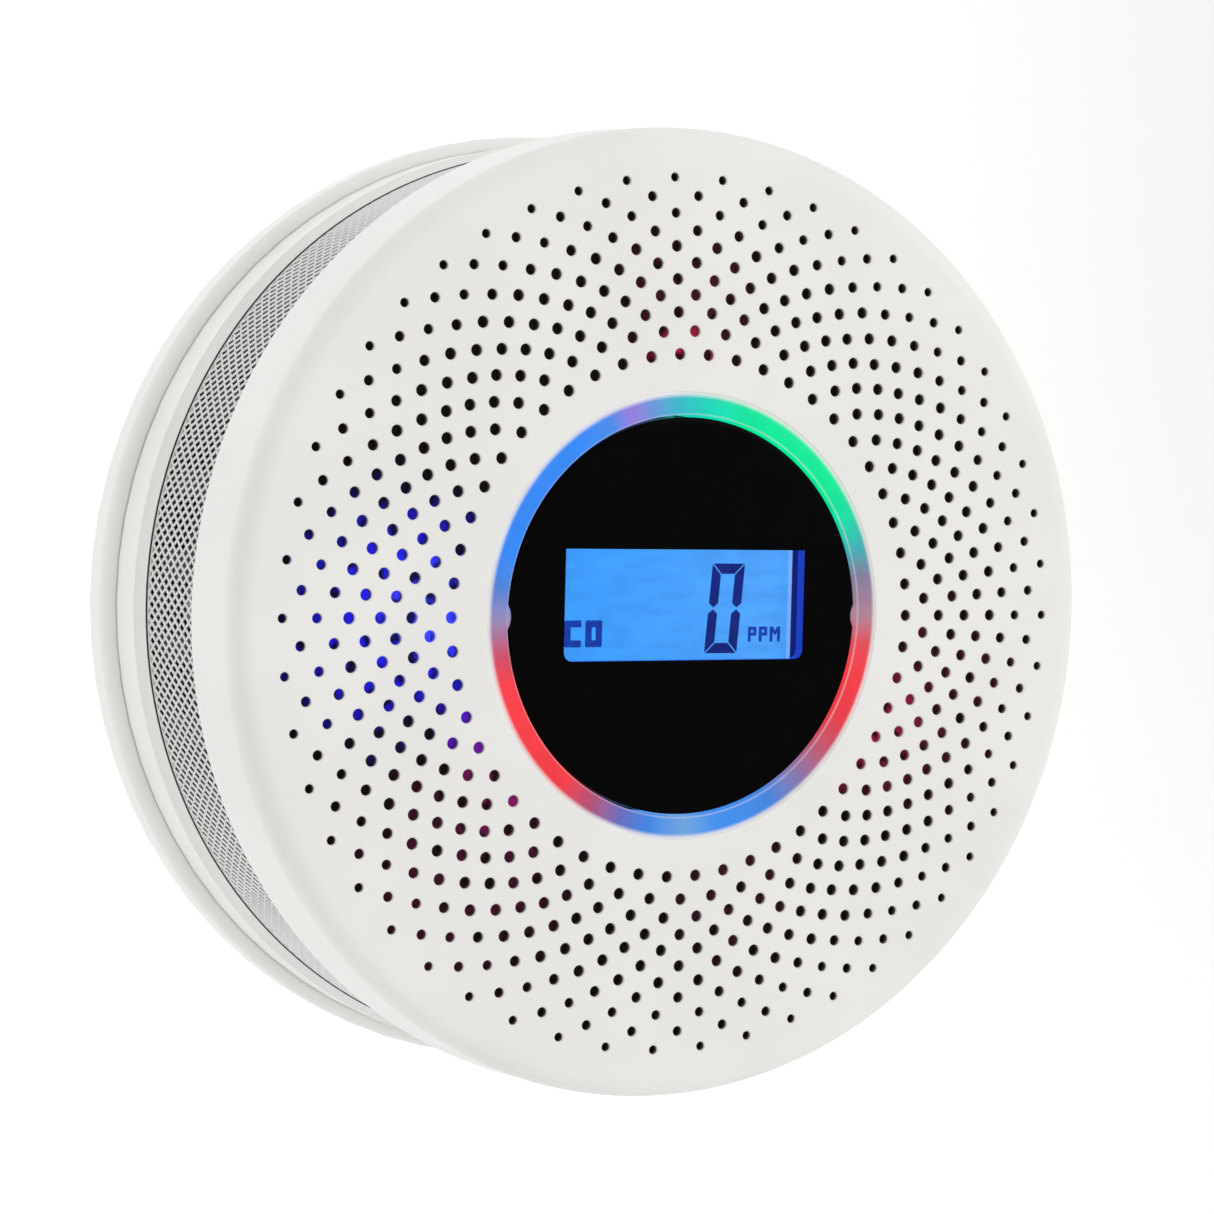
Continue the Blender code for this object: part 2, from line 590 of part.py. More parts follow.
def build_cells(head):
    cell_out = (BAY_BACK + BAY_FRONT) / 2
    for row in range(CELL_COUNT):
        side = 1 if cell_points_right(row) else -1
        nub_end = side * (BAY_LENGTH / 2 - 2 * GAP - CONTACT_THICKNESS)
        can_front = nub_end - side * CELL_NUB_LENGTH
        can_back = can_front - side * CELL_LENGTH
        shape = draw_side_rod(bmesh.new(), CELL_RADIUS, sorted((can_front, can_back)),
                              cell_out, cell_row_z(row), 24)
        cell = add_piece("battery_%d" % (row + 1), shape, "cell_wrap", head)
        nub = bmesh.new()
        draw_side_rod(nub, CELL_NUB_RADIUS, sorted((can_front - side * OVERLAP, nub_end)),
                      cell_out, cell_row_z(row), 16)
        join(cell, nub)

        coil_base = -side * (BAY_LENGTH / 2 - CONTACT_THICKNESS - 2 * GAP)
        turn = Matrix.Rotation(math.radians(90) * side, 4, "Y")
        place = Matrix.Translation((coil_base, -cell_out, cell_row_z(row))) @ turn
        coil = draw_coil(bmesh.new(), SPRING_RADIUS, SPRING_RADIUS * 0.6, SPRING_LENGTH,
                         SPRING_WIRE, SPRING_TURNS, place)
        add_piece("contact_spring_%d" % (row + 1), coil, "nickel", head)


def build_contacts(head):
    """Flat strips at the ends of the bay; a link strip bridges two neighbouring cells."""
    outer = BAY_LENGTH / 2 - GAP
    inner = outer - CONTACT_THICKNESS
    half = CELL_RADIUS - CELL_SPACING
    out = (BAY_BACK + 4 * GAP, BAY_FRONT - 4 * GAP)
    strips = {"contact_link_left": (-1, 0, 1), "contact_minus": (-1, 2, 2),
              "contact_plus": (1, 0, 0), "contact_link_right": (1, 1, 2)}
    for name, (side, first, last) in strips.items():
        shape = draw_box(bmesh.new(), sorted((side * inner, side * outer)), out,
                         (cell_row_z(first) - half, cell_row_z(last) + half))
        add_piece(name, shape, "nickel", head)


# ---- mesh band, cage and cover -------------------------------------------------------------
def build_mesh_band(head):
    inner = MESH_RADIUS - MESH_THICKNESS
    outline = [(inner, MESH_BACK), (MESH_RADIUS, MESH_BACK),
               (MESH_RADIUS, MESH_FRONT), (inner, MESH_FRONT)]
    add_piece("mesh_band", draw_turned(bmesh.new(), outline), "mesh_metal", head)


def build_vent_cage(head):
    """Barred ring that carries the mesh and nests in the housing and in the cover."""
    outline = [(COLLAR_INNER, MESH_BACK - CAGE_COLLAR_REACH),
               (COLLAR_RADIUS, MESH_BACK - CAGE_COLLAR_REACH),
               (COLLAR_RADIUS, MESH_BACK), (CAGE_RADIUS, MESH_BACK),
               (CAGE_RADIUS, MESH_FRONT), (COLLAR_RADIUS, MESH_FRONT),
               (COLLAR_RADIUS, MESH_FRONT + CAGE_COLLAR_REACH),
               (COLLAR_INNER, MESH_FRONT + CAGE_COLLAR_REACH)]
    cage = add_piece("vent_cage", draw_turned(bmesh.new(), outline), "grey_plastic", head)
    windows = bmesh.new()
    pitch = math.tau / CAGE_BARS
    half = (CAGE_INNER * math.tan(pitch / 2)) - CAGE_BAR_WIDTH / 2
    for bar in range(CAGE_BARS):
        draw_box(windows, (COLLAR_INNER - 2 * OVERLAP, CAGE_RADIUS + 2 * OVERLAP),
                 (MESH_BACK + CAGE_END_RING, MESH_FRONT - CAGE_END_RING),
                 (-half, half), bar * pitch)
    cut(cage, windows)


def build_front_cover(head):
    """Shallow cup with a round rim, a hole for the light ring and four screw bosses."""
    face_radius = COVER_RADIUS - COVER_DRAFT - COVER_ROUND
    corner = (face_radius, FACE - COVER_ROUND)
    inner_corner = (COVER_INNER_RADIUS - COVER_DRAFT - COVER_ROUND / 2,
                    FACE_INSIDE - COVER_ROUND / 2)
    hole = LIGHT_RING_OUTER + GAP
    outline = [(COVER_INNER_RADIUS, COVER_BACK), (COVER_RADIUS, COVER_BACK)]
    outline += arc_points(corner, COVER_ROUND, 0, 90, 6)
    outline += [(hole, FACE), (hole, FACE_INSIDE)]
    outline += arc_points(inner_corner, COVER_ROUND / 2, 90, 0, 3)
    cover = add_piece("front_cover", draw_turned(bmesh.new(), outline), "white_plastic", head)
    bosses = bmesh.new()
    holes = bmesh.new()
    tip = HOUSING_BACK + SCREW_SINK + SCREW_HEAD_HEIGHT + SCREW_LENGTH
    for angle in BOSS_ANGLES:
        x, z = on_circle(BOSS_CIRCLE, angle)
        draw_rod(bosses, BOSS_RADIUS, (boss_split() + GAP / 2, FACE_INSIDE + OVERLAP), x, z)
        draw_rod(holes, SCREW_RADIUS + GAP, (boss_split() - OVERLAP, tip + GAP), x, z)
    join(cover, bosses)
    cut(cover, holes)


def build_screws(head):
    under_head = HOUSING_BACK + SCREW_SINK + SCREW_HEAD_HEIGHT
    for number, angle in enumerate(BOSS_ANGLES, start=1):
        outline = [(0.0, under_head - SCREW_HEAD_HEIGHT),
                   (SCREW_HEAD_RADIUS, under_head - SCREW_HEAD_HEIGHT),
                   (SCREW_HEAD_RADIUS, under_head), (SCREW_RADIUS, under_head),
                   (SCREW_RADIUS, under_head + SCREW_LENGTH),
                   (0.0, under_head + SCREW_LENGTH)]
        shape = draw_turned(bmesh.new(), outline, 12, *on_circle(BOSS_CIRCLE, angle))
        add_piece("cover_screw_%d" % number, shape, "steel", head)
    seat = BOARD_FRONT + GAP
    for number, angle in enumerate(POST_ANGLES, start=1):
        outline = [(0.0, seat - BOARD_SCREW_LENGTH),
                   (BOARD_SCREW_RADIUS, seat - BOARD_SCREW_LENGTH),
                   (BOARD_SCREW_RADIUS, seat), (BOARD_SCREW_HEAD_RADIUS, seat),
                   (BOARD_SCREW_HEAD_RADIUS, seat + BOARD_SCREW_HEAD_HEIGHT),
                   (0.0, seat + BOARD_SCREW_HEAD_HEIGHT)]
        shape = draw_turned(bmesh.new(), outline, 12, *on_circle(POST_CIRCLE, angle))
        add_piece("board_screw_%d" % number, shape, "steel", head)


# ---- light ring and test button ------------------------------------------------------------
def build_light_ring(head):
    """Frosted guide seen around the display, with two keys that stop the lens turning."""
    outline = [(LIGHT_RING_INNER, LIGHT_RING_BACK), (LIGHT_RING_OUTER, LIGHT_RING_BACK),
               (LIGHT_RING_OUTER, FLANGE_BACK),
               (LIGHT_RING_OUTER + LIGHT_RING_FLANGE, FLANGE_BACK),
               (LIGHT_RING_OUTER + LIGHT_RING_FLANGE, FLANGE_FRONT),
               (LIGHT_RING_OUTER, FLANGE_FRONT), (LIGHT_RING_OUTER, FACE),
               (LIGHT_RING_INNER, FACE)]
    ring = add_piece("light_ring", draw_turned(bmesh.new(), outline), "light_guide", head)
    keys = bmesh.new()
    for angle in (0.0, math.pi):
        draw_box(keys, (LIGHT_RING_INNER - KEY_REACH, LIGHT_RING_INNER + LIGHT_RING_WIDTH / 2),
                 (LENS_BACK, FACE - GAP), (-KEY_WIDTH / 2, KEY_WIDTH / 2), angle)
    join(ring, keys)


def build_lens(button):
    corner = (LENS_RADIUS - LENS_ROUND, LENS_FRONT - LENS_ROUND)
    outline = [(0.0, LENS_BACK), (LENS_RADIUS, LENS_BACK)]
    outline += arc_points(corner, LENS_ROUND, 0, 90, 2)
    outline += [(0.0, LENS_FRONT)]
    lens = add_piece("display_lens", draw_turned(bmesh.new(), outline), "black_gloss", button)
    notches = bmesh.new()
    half = KEY_WIDTH / 2 + GAP
    for angle in (0.0, math.pi):
        draw_box(notches, (LENS_RADIUS - KEY_REACH, LENS_RADIUS + 2 * OVERLAP),
                 (LENS_BACK - OVERLAP, LENS_FRONT + OVERLAP), (-half, half), angle)
    cut(lens, notches)


def build_button_carrier(button):
    """Frame under the lens: tabs press the switches, feet catch behind the light ring."""
    outline = [(CARRIER_INNER, CARRIER_BACK), (CARRIER_OUTER, CARRIER_BACK),
               (CARRIER_OUTER, CARRIER_FRONT), (CARRIER_INNER, CARRIER_FRONT)]
    carrier = add_piece("button_carrier", draw_turned(bmesh.new(), outline),
                        "black_plastic", button)
    tabs = bmesh.new()
    for side in (-1, 1):
        ends = (side * (TACT_OFFSET - TACT_STEM_RADIUS - 2 * GAP),
                side * (CARRIER_INNER + OVERLAP))
        draw_box(tabs, (-CARRIER_TAB_WIDTH / 2, CARRIER_TAB_WIDTH / 2),
                 (CARRIER_FRONT - CARRIER_TAB_THICKNESS, CARRIER_FRONT), sorted(ends))
    foot_half = CARRIER_OUTER * CARRIER_FOOT_WIDTH / 2
    for angle in CARRIER_FOOT_ANGLES:
        draw_box(tabs, (CARRIER_OUTER - OVERLAP, CARRIER_OUTER + CARRIER_FOOT_REACH),
                 (CARRIER_BACK, CARRIER_BACK + CARRIER_FOOT_HEIGHT), (-foot_half, foot_half),
                 angle)
    join(carrier, tabs)


def build_switches(head, button):
    """Two push switches; each body is fixed and its stem moves with the button."""
    base = DISPLAY_BOARD_FRONT + GAP
    stem_front = CARRIER_FRONT - CARRIER_TAB_THICKNESS - GAP
    stem_back = base + TACT_HEIGHT - OVERLAP * 2
    for number, side in enumerate((1, -1), start=1):
        z = side * TACT_OFFSET
        half = TACT_SIZE / 2
        shape = draw_box(bmesh.new(), (-half, half), (base, base + TACT_HEIGHT),
                         (z - half, z + half))
        body = add_piece("switch_body_%d" % number, shape, "black_plastic", head)
        well = draw_rod(bmesh.new(), TACT_STEM_RADIUS + GAP,
                        (stem_back - BUTTON_TRAVEL - GAP, base + TACT_HEIGHT + OVERLAP), 0.0, z)
        cut(body, well)
        stem = draw_rod(bmesh.new(), TACT_STEM_RADIUS, (stem_back, stem_front), 0.0, z)
        add_piece("switch_stem_%d" % number, stem, "grey_plastic", button)


# ---- display and boards --------------------------------------------------------------------
def build_display(head):
    for name, inset, out, material in (
            ("lcd_glass", 0.0, (LCD_BACK, LCD_FRONT), "display_glass"),
            ("lcd_backlight", BACKLIGHT_INSET, (BACKLIGHT_BACK, BACKLIGHT_FRONT),
             "backlight_white")):
        half_width = LCD_WIDTH / 2 - inset
        half_height = LCD_HEIGHT / 2 - inset
        shape = draw_box(bmesh.new(), (-half_width, half_width), out,
                         (LCD_CENTRE_Z - half_height, LCD_CENTRE_Z + half_height))
        add_piece(name, shape, material, head)


def build_boards(head):
    main = draw_rod(bmesh.new(), BOARD_RADIUS, (BOARD_BACK, BOARD_FRONT), sides=SIDES_LARGE)
    board = add_piece("main_board", main, "board_green", head)
    holes = bmesh.new()
    for angle in POST_ANGLES:
        draw_rod(holes, BOARD_SCREW_RADIUS + GAP,
                 (BOARD_BACK - OVERLAP, BOARD_FRONT + OVERLAP), *on_circle(POST_CIRCLE, angle))
    cut(board, holes)
    small = draw_rod(bmesh.new(), DISPLAY_BOARD_RADIUS,
                     (DISPLAY_BOARD_BACK, DISPLAY_BOARD_FRONT), sides=48)
    add_piece("display_board", small, "board_green", head)
    for number, angle in enumerate(SPACER_ANGLES, start=1):
        shape = draw_rod(bmesh.new(), SPACER_RADIUS,
                         (BOARD_FRONT + GAP, DISPLAY_BOARD_BACK - GAP),
                         *on_circle(SPACER_CIRCLE, angle), 6)
        add_piece("board_spacer_%d" % number, shape, "grey_plastic", head)


def build_leds(head):
    half = LED_SIZE / 2
    base = DISPLAY_BOARD_FRONT + GAP
    for number in range(LED_COUNT):
        shape = draw_box(bmesh.new(), (LED_CIRCLE - half, LED_CIRCLE + half),
                         (base, base + LED_HEIGHT), (-half, half),
                         math.tau * number / LED_COUNT)
        add_piece("ring_led_%02d" % (number + 1), shape, "led_white", head)


def build_board_parts(head):
    base = BOARD_FRONT + GAP
    x, z = on_circle(TALL_PART_CIRCLE, SENSOR_ANGLE)
    top = base + SENSOR_HEIGHT
    outline = [(0.0, base), (SENSOR_RADIUS, base), (SENSOR_RADIUS, top),
               (SENSOR_CAP_RADIUS, top), (SENSOR_CAP_RADIUS, top - SENSOR_CAP_HEIGHT),
               (0.0, top - SENSOR_CAP_HEIGHT)]
    add_piece("co_sensor", draw_turned(bmesh.new(), outline, 32, x, z), "steel", head)

    x, z = on_circle(TALL_PART_CIRCLE, SOUNDER_ANGLE)
    top = base + SOUNDER_HEIGHT
    outline = [(0.0, base), (SOUNDER_RADIUS, base), (SOUNDER_RADIUS, top),
               (SOUNDER_HOLE_RADIUS, top), (SOUNDER_HOLE_RADIUS, top - SOUNDER_HOLE_DEPTH),
               (0.0, top - SOUNDER_HOLE_DEPTH)]
    add_piece("sounder", draw_turned(bmesh.new(), outline, 32, x, z), "black_plastic", head)

    edge = BOARD_RADIUS - EDGE_MARGIN
    chip = draw_box(bmesh.new(), (-CHIP_SIZE / 2, CHIP_SIZE / 2), (base, base + CHIP_HEIGHT),
                    (edge - CHIP_SIZE, edge))
    add_piece("controller_chip", chip, "black_plastic", head)
    aside = CHIP_SIZE / 2 + CAPACITOR_RADIUS + CHIP_MARGIN
    capacitor_z = math.sqrt((edge - CAPACITOR_RADIUS) ** 2 - aside ** 2)
    capacitor = draw_rod(bmesh.new(), CAPACITOR_RADIUS, (base, base + CAPACITOR_HEIGHT),
                         aside, capacitor_z, 24)
    add_piece("capacitor", capacitor, "steel", head)
    width, height, rise = CONNECTOR_SIZE
    aside = CHIP_SIZE / 2 + CHIP_MARGIN
    top = math.sqrt(edge ** 2 - (aside + width) ** 2)
    connector = draw_box(bmesh.new(), (-aside - width, -aside), (base, base + rise),
                         (top - height, top))
    add_piece("battery_connector", connector, "led_white", head)


def main():
    clear_scene()
    root = add_pivot("wall")
    head = add_pivot("head_twist_axis")
    button = add_pivot("test_button_axis", LENS_FRONT)
    hinge = add_pivot("battery_door_axis", HINGE_OUT, HINGE_Z)
    build_mounting_plate(root)
    build_rear_housing(head)
    build_battery_door(hinge)
    build_cells(head)
    build_contacts(head)
    build_mesh_band(head)
    build_vent_cage(head)
    build_front_cover(head)
    build_screws(head)
    build_light_ring(head)
    build_lens(button)
    build_button_carrier(button)
    build_switches(head, button)
    build_display(head)
    build_boards(head)
    build_leds(head)
    build_board_parts(head)


main()
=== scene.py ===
"""Looks of a round carbon monoxide alarm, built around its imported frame.

Every length is in metres. "Out" is the distance from the wall towards the viewer, so a point
at out = 0.04 has Y = -0.04. Angles go round the face from +X towards +Z.
"""

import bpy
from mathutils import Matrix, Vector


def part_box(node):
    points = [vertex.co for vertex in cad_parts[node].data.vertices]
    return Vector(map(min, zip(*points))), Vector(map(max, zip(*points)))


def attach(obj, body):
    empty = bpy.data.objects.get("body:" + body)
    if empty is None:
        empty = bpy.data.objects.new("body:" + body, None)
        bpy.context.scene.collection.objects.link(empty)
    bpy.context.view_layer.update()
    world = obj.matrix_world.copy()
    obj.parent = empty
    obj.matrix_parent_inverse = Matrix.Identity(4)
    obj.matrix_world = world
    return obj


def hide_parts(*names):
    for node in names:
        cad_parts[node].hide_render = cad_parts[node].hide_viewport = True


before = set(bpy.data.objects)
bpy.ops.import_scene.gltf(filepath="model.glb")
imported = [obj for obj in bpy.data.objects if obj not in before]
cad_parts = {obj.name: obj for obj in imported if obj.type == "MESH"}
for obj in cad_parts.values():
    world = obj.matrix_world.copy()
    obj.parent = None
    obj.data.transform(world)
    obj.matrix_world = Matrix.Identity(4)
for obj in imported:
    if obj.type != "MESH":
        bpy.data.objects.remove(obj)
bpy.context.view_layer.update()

import math

import bmesh
import bpy
from mathutils import Matrix, Vector

bl_info = {
    "name": "Gas Alarm Builder",
    "version": (1, 0, 0),
    "blender": (4, 5, 0),
    "location": "3D Viewport > Sidebar > Gas Alarm",
    "description": "Builds a round wall alarm with a drilled face, a light ring and a display",
    "category": "Object",
}


# ---- places read from the frame ------------------------------------------------------------
def out_span(node):
    """How far a node's back and front stand from the wall."""
    low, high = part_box(node)
    return -high.y, -low.y


GAP = 0.0003
FACE = out_span("front_cover")[1]
COVER_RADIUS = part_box("front_cover")[1].x
MESH_BACK, MESH_FRONT = out_span("mesh_band")
MESH_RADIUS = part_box("mesh_band")[1].x
COVER_BACK = MESH_FRONT + GAP
RING_BACK, RING_FRONT = out_span("light_ring")
RING_FLANGE_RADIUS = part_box("light_ring")[1].x
LENS_BACK, LENS_FRONT = out_span("display_lens")
LENS_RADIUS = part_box("display_lens")[1].z
RING_INNER = LENS_RADIUS + GAP
SCREEN_BACK, SCREEN_FRONT = out_span("lcd_glass")
SCREEN_LOW, SCREEN_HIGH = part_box("lcd_glass")


# ---- sizes and colours that a user would change --------------------------------------------
def length(name, description, default):
    return bpy.props.FloatProperty(name=name, description=description, default=default,
                                   unit="LENGTH", precision=5, min=0.0)


def count(name, description, default):
    return bpy.props.IntProperty(name=name, description=description, default=default, min=1)


def colour(name, description, default):
    return bpy.props.FloatVectorProperty(name=name, description=description, default=default,
                                         subtype="COLOR", min=0.0, max=1.0)


class AlarmCoverSizes(bpy.types.PropertyGroup):
    """Sizes of the drilled front cover."""
    rings: count("Hole rings", "Number of rings of holes, up to 11", 11)
    holes: count("Holes per ring", "Number of holes in each ring", 50)
    hole_radius: length("Hole radius", "Radius of the inner holes", 0.00073)
    hole_edge: length("Hole edge", "Width of the soft edge round each hole", 0.00012)
    wall: length("Wall", "Thickness of the side wall", 0.0018)
    face_wall: length("Face wall", "Thickness of the drilled face", 0.0009)
    rim_round: length("Rim round", "Radius of the rounded rim", 0.0027)
    draft: length("Draft", "How much the side leans in towards the face", 0.0005)


class AlarmMeshSizes(bpy.types.PropertyGroup):
    """Sizes of the woven band."""
    cells_around: count("Cells around", "Number of cells round the band", 248)
    cells_across: count("Cells across", "Number of cells over the height of the band", 8)
    wire: length("Wire", "Width of each wire", 0.00041)


class AlarmDisplaySizes(bpy.types.PropertyGroup):
    """Sizes of the light ring, the lens and what the display shows."""
    ring_width: length("Ring width", "Width of the lit ring", 0.0027)
    ring_round: length("Ring round", "Rounding of the ring's edges", 0.00025)
    window_half_width: length("Window half width", "Half the width of the window", 0.0169)
    window_top: length("Window top", "Top of the window above the centre", 0.0082)
    window_bottom: length("Window bottom", "Bottom of the window below the centre", 0.0054)
    window_corner: length("Window corner", "Radius of the two lower corners", 0.0011)
    stroke: length("Stroke", "Width of the strokes of the large digit", 0.00130)


class AlarmColours(bpy.types.PropertyGroup):
    """Colours of the finishes."""
    plastic: colour("Plastic", "Moulded white plastic", (0.86, 0.855, 0.84))
    wire: colour("Wire", "Light grey wire of the band", (0.86, 0.865, 0.86))
    board: colour("Board", "Coating of the circuit boards", (0.012, 0.10, 0.045))
    backlight: colour("Backlight", "Blue light of the display", (0.040, 0.335, 1.0))
    segment: colour("Segment", "Dark parts of the display", (0.003, 0.010, 0.17))
    red: colour("Red", "Red light of the ring", (0.91, 0.045, 0.062))
    green: colour("Green", "Green light of the ring", (0.0, 0.86, 0.32))
    blue: colour("Blue", "Blue light of the ring", (0.035, 0.25, 0.92))


# ---- modelling by hand, in code ------------------------------------------------------------
def deselect():
    if bpy.context.object is not None and bpy.context.object.mode != "OBJECT":
        bpy.ops.object.mode_set(mode="OBJECT")
    bpy.ops.object.select_all(action="DESELECT")


def make_active(piece):
    deselect()
    piece.hide_set(False)
    piece.select_set(True)
    bpy.context.view_layer.objects.active = piece


def edit(piece):
    make_active(piece)
    bpy.ops.object.mode_set(mode="EDIT")
    bpy.ops.mesh.select_mode(type="VERT")
    bpy.ops.mesh.select_all(action="SELECT")


def pick(piece, kind, test):
    """Select only the faces or edges that pass the test."""
    bpy.ops.mesh.select_all(action="DESELECT")
    bpy.ops.mesh.select_mode(type=kind)
    shape = bmesh.from_edit_mesh(piece.data)
    for element in shape.faces if kind == "FACE" else shape.edges:
        element.select_set(test(element))
    bmesh.update_edit_mesh(piece.data)


def pick_edges(piece, test):
    """Select only the edges whose two ends pass the test."""
    pick(piece, "EDGE", lambda edge: test(edge.verts[0].co, edge.verts[1].co))


def settle(piece):
    """Leave edit mode and write the piece's place into its mesh."""
    make_active(piece)
    bpy.ops.object.transform_apply(location=True, rotation=True, scale=True)
    return piece


def draw_outline(name, points, closed=True):
    """Draw a line of edges through points by extruding one vertex after another."""
    deselect()
    bpy.ops.mesh.primitive_plane_add(size=0.001)
    piece = bpy.context.object
    piece.name = name
    edit(piece)
    bpy.ops.mesh.merge(type="CENTER")
    bpy.ops.transform.translate(value=points[0])
    for before, after in zip(points, points[1:]):
        step = [b - a for a, b in zip(before, after)]
        bpy.ops.mesh.extrude_vertices_move(TRANSFORM_OT_translate={"value": step})
    if closed:
        shape = bmesh.from_edit_mesh(piece.data)
        ends = [vertex for vertex in shape.verts if len(vertex.link_edges) == 1]
        for vertex in shape.verts:
            vertex.select_set(vertex in ends)
        bmesh.update_edit_mesh(piece.data)
        bpy.ops.mesh.edge_face_add()
    bpy.ops.mesh.select_all(action="SELECT")
    return piece


def turn(name, outline, sides, closed=True):
    """Spin an outline of (radius, out) points round the Y axis."""
    piece = draw_outline(name, [(radius, -out, 0.0) for radius, out in outline], closed)
    bpy.ops.mesh.spin(steps=sides, angle=math.tau, center=(0, 0, 0), axis=(0, 1, 0))
    bpy.ops.mesh.select_all(action="SELECT")
    bpy.ops.mesh.remove_doubles(threshold=1e-6)
    bpy.ops.mesh.normals_make_consistent(inside=False)
    bpy.ops.object.mode_set(mode="OBJECT")
    return piece


def slab(name, corners, back, front):
    """Fill an outline of (x, z) corners and give it thickness from back to front."""
    piece = draw_outline(name, [(x, -back, z) for x, z in corners])
    bpy.ops.mesh.edge_face_add()
    bpy.ops.mesh.extrude_region_move(TRANSFORM_OT_translate={"value": (0, back - front, 0)})
    bpy.ops.mesh.select_all(action="SELECT")
    bpy.ops.mesh.normals_make_consistent(inside=False)
    bpy.ops.object.mode_set(mode="OBJECT")
    return piece


def arc(centre, radius, start, end, steps):
    """Points of a round corner, from one angle in degrees to another."""
    points = []
    for step in range(steps + 1):
        angle = math.radians(start + (end - start) * step / steps)
        points.append((centre[0] + radius * math.cos(angle),
                       centre[1] + radius * math.sin(angle)))
    return points


def apply_all(piece):
    make_active(piece)
    for modifier in list(piece.modifiers):
        bpy.ops.object.modifier_apply(modifier=modifier.name)
    return piece


def carve(piece, tool, operation="DIFFERENCE"):
    """Cut or join with a tool, which is used up."""
    boolean = piece.modifiers.new("Carve", "BOOLEAN")
    boolean.operation = operation
    boolean.object = tool
    apply_all(piece)
    bpy.data.objects.remove(tool, do_unlink=True)
    return piece


def join(name, parts):
    """Join several pieces into one named object."""
    deselect()
    for part in parts:
        part.select_set(True)
    bpy.context.view_layer.objects.active = parts[0]
    bpy.ops.object.join()
    piece = bpy.context.object
    piece.name = name
    return piece


def smooth(piece, degrees=32):
    make_active(piece)
    bpy.ops.object.shade_smooth_by_angle(angle=math.radians(degrees))
    return piece


def even_out(piece):
    """Keep broad flat faces evenly shaded beside small rounded ones."""
    even = piece.modifiers.new("Even shading", "WEIGHTED_NORMAL")
    even.mode = "FACE_AREA"
    even.weight = 80
    even.keep_sharp = True
    return apply_all(piece)


def soften(piece, width, segments=2, degrees=40):
    """Round the sharp edges a little."""
    bevel = piece.modifiers.new("Soft edges", "BEVEL")
    bevel.width = width
    bevel.segments = segments
    bevel.limit_method = "ANGLE"
    bevel.angle_limit = math.radians(degrees)
    return apply_all(piece)


def finish_piece(piece, material, body, slot, *nodes):
    """Give a piece its finish and its body, and hide the nodes it stands for; the slot is not
    used.
    """
    piece.data.materials.clear()
    piece.data.materials.append(material)
    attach(piece, body)
    if nodes:
        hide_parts(*nodes)
    return piece


def cad_copy(node, name):
    """A merged copy of a node, to be finished as a piece of its own."""
    deselect()
    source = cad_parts[node]
    piece = bpy.data.objects.new(name, source.data.copy())
    bpy.context.scene.collection.objects.link(piece)
    edit(piece)
    bpy.ops.mesh.remove_doubles(threshold=2e-6)
    bpy.ops.mesh.tris_convert_to_quads(face_threshold=math.radians(1),
                                       shape_threshold=math.radians(40))
    bpy.ops.object.mode_set(mode="OBJECT")
    return piece


# ---- building blocks of the finishes -------------------------------------------------------
def add_node(tree, kind, **settings):
    """Add a node and set its attributes."""
    node = tree.nodes.new(kind)
    for key, value in settings.items():
        setattr(node, key, value)
    return node


def put(tree, node, entrance, value):
    """Link a socket to an input, or set the input to a plain value."""
    if isinstance(value, bpy.types.NodeSocket):
        tree.links.new(value, node.inputs[entrance])
    elif value is not None:
        node.inputs[entrance].default_value = value


def put_all(tree, node, **values):
    """Put several inputs by name, with a low line for each space."""
    for key, value in values.items():
        put(tree, node, key.replace("_", " "), value)


def maths(tree, operation, *values):
    node = add_node(tree, "ShaderNodeMath", operation=operation)
    for index, value in enumerate(values):
        put(tree, node, index, value)
    return node.outputs[0]


def vectors(tree, operation, first, second=None):
    """A sum, scaling, length or distance of vectors."""
    node = add_node(tree, "ShaderNodeVectorMath", operation=operation)
    put(tree, node, 0, first)
    put(tree, node, "Scale" if operation == "SCALE" else 1, second)
    return node.outputs["Value" if operation in ("LENGTH", "DISTANCE") else "Vector"]


def ease(tree, value, low, high, to_low, to_high):
    """Go softly from one level to another while a value goes from low to high."""
    node = add_node(tree, "ShaderNodeMapRange", interpolation_type="SMOOTHSTEP")
    put_all(tree, node, Value=value, From_Min=low, From_Max=high, To_Min=to_low,
            To_Max=to_high)
    return node.outputs["Result"]


def mix(tree, factor, first, second, blend_type="MIX"):
    """Mix two colours, each a socket or a plain tint."""
    node = add_node(tree, "ShaderNodeMix", data_type="RGBA", blend_type=blend_type)
    put(tree, node, "Factor", factor)
    for label, tint in (("A", first), ("B", second)):
        plain = not isinstance(tint, bpy.types.NodeSocket)
        put(tree, node, label, (*tint, 1.0) if plain else tint)
    return node.outputs["Result"]


def noise(tree, place, scale, detail, roughness=None):
    node = add_node(tree, "ShaderNodeTexNoise")
    put_all(tree, node, Vector=place, Scale=scale, Detail=detail, Roughness=roughness)
    return node.outputs["Fac"]


def object_place(tree):
    return add_node(tree, "ShaderNodeTexCoord").outputs["Object"]


def parts_of(tree, place):
    """The X, Y and Z of a place."""
    split = add_node(tree, "ShaderNodeSeparateXYZ")
    put(tree, split, "Vector", place)
    return split.outputs


def flat_place(tree, x, z):
    """A place on the face, with no depth."""
    node = add_node(tree, "ShaderNodeCombineXYZ")
    put_all(tree, node, X=x, Z=z)
    return node.outputs["Vector"]


def moved(tree, place, **values):
    """A place that is scaled or turned before a texture reads it."""
    node = add_node(tree, "ShaderNodeMapping")
    put_all(tree, node, Vector=place, **values)
    return node.outputs["Vector"]


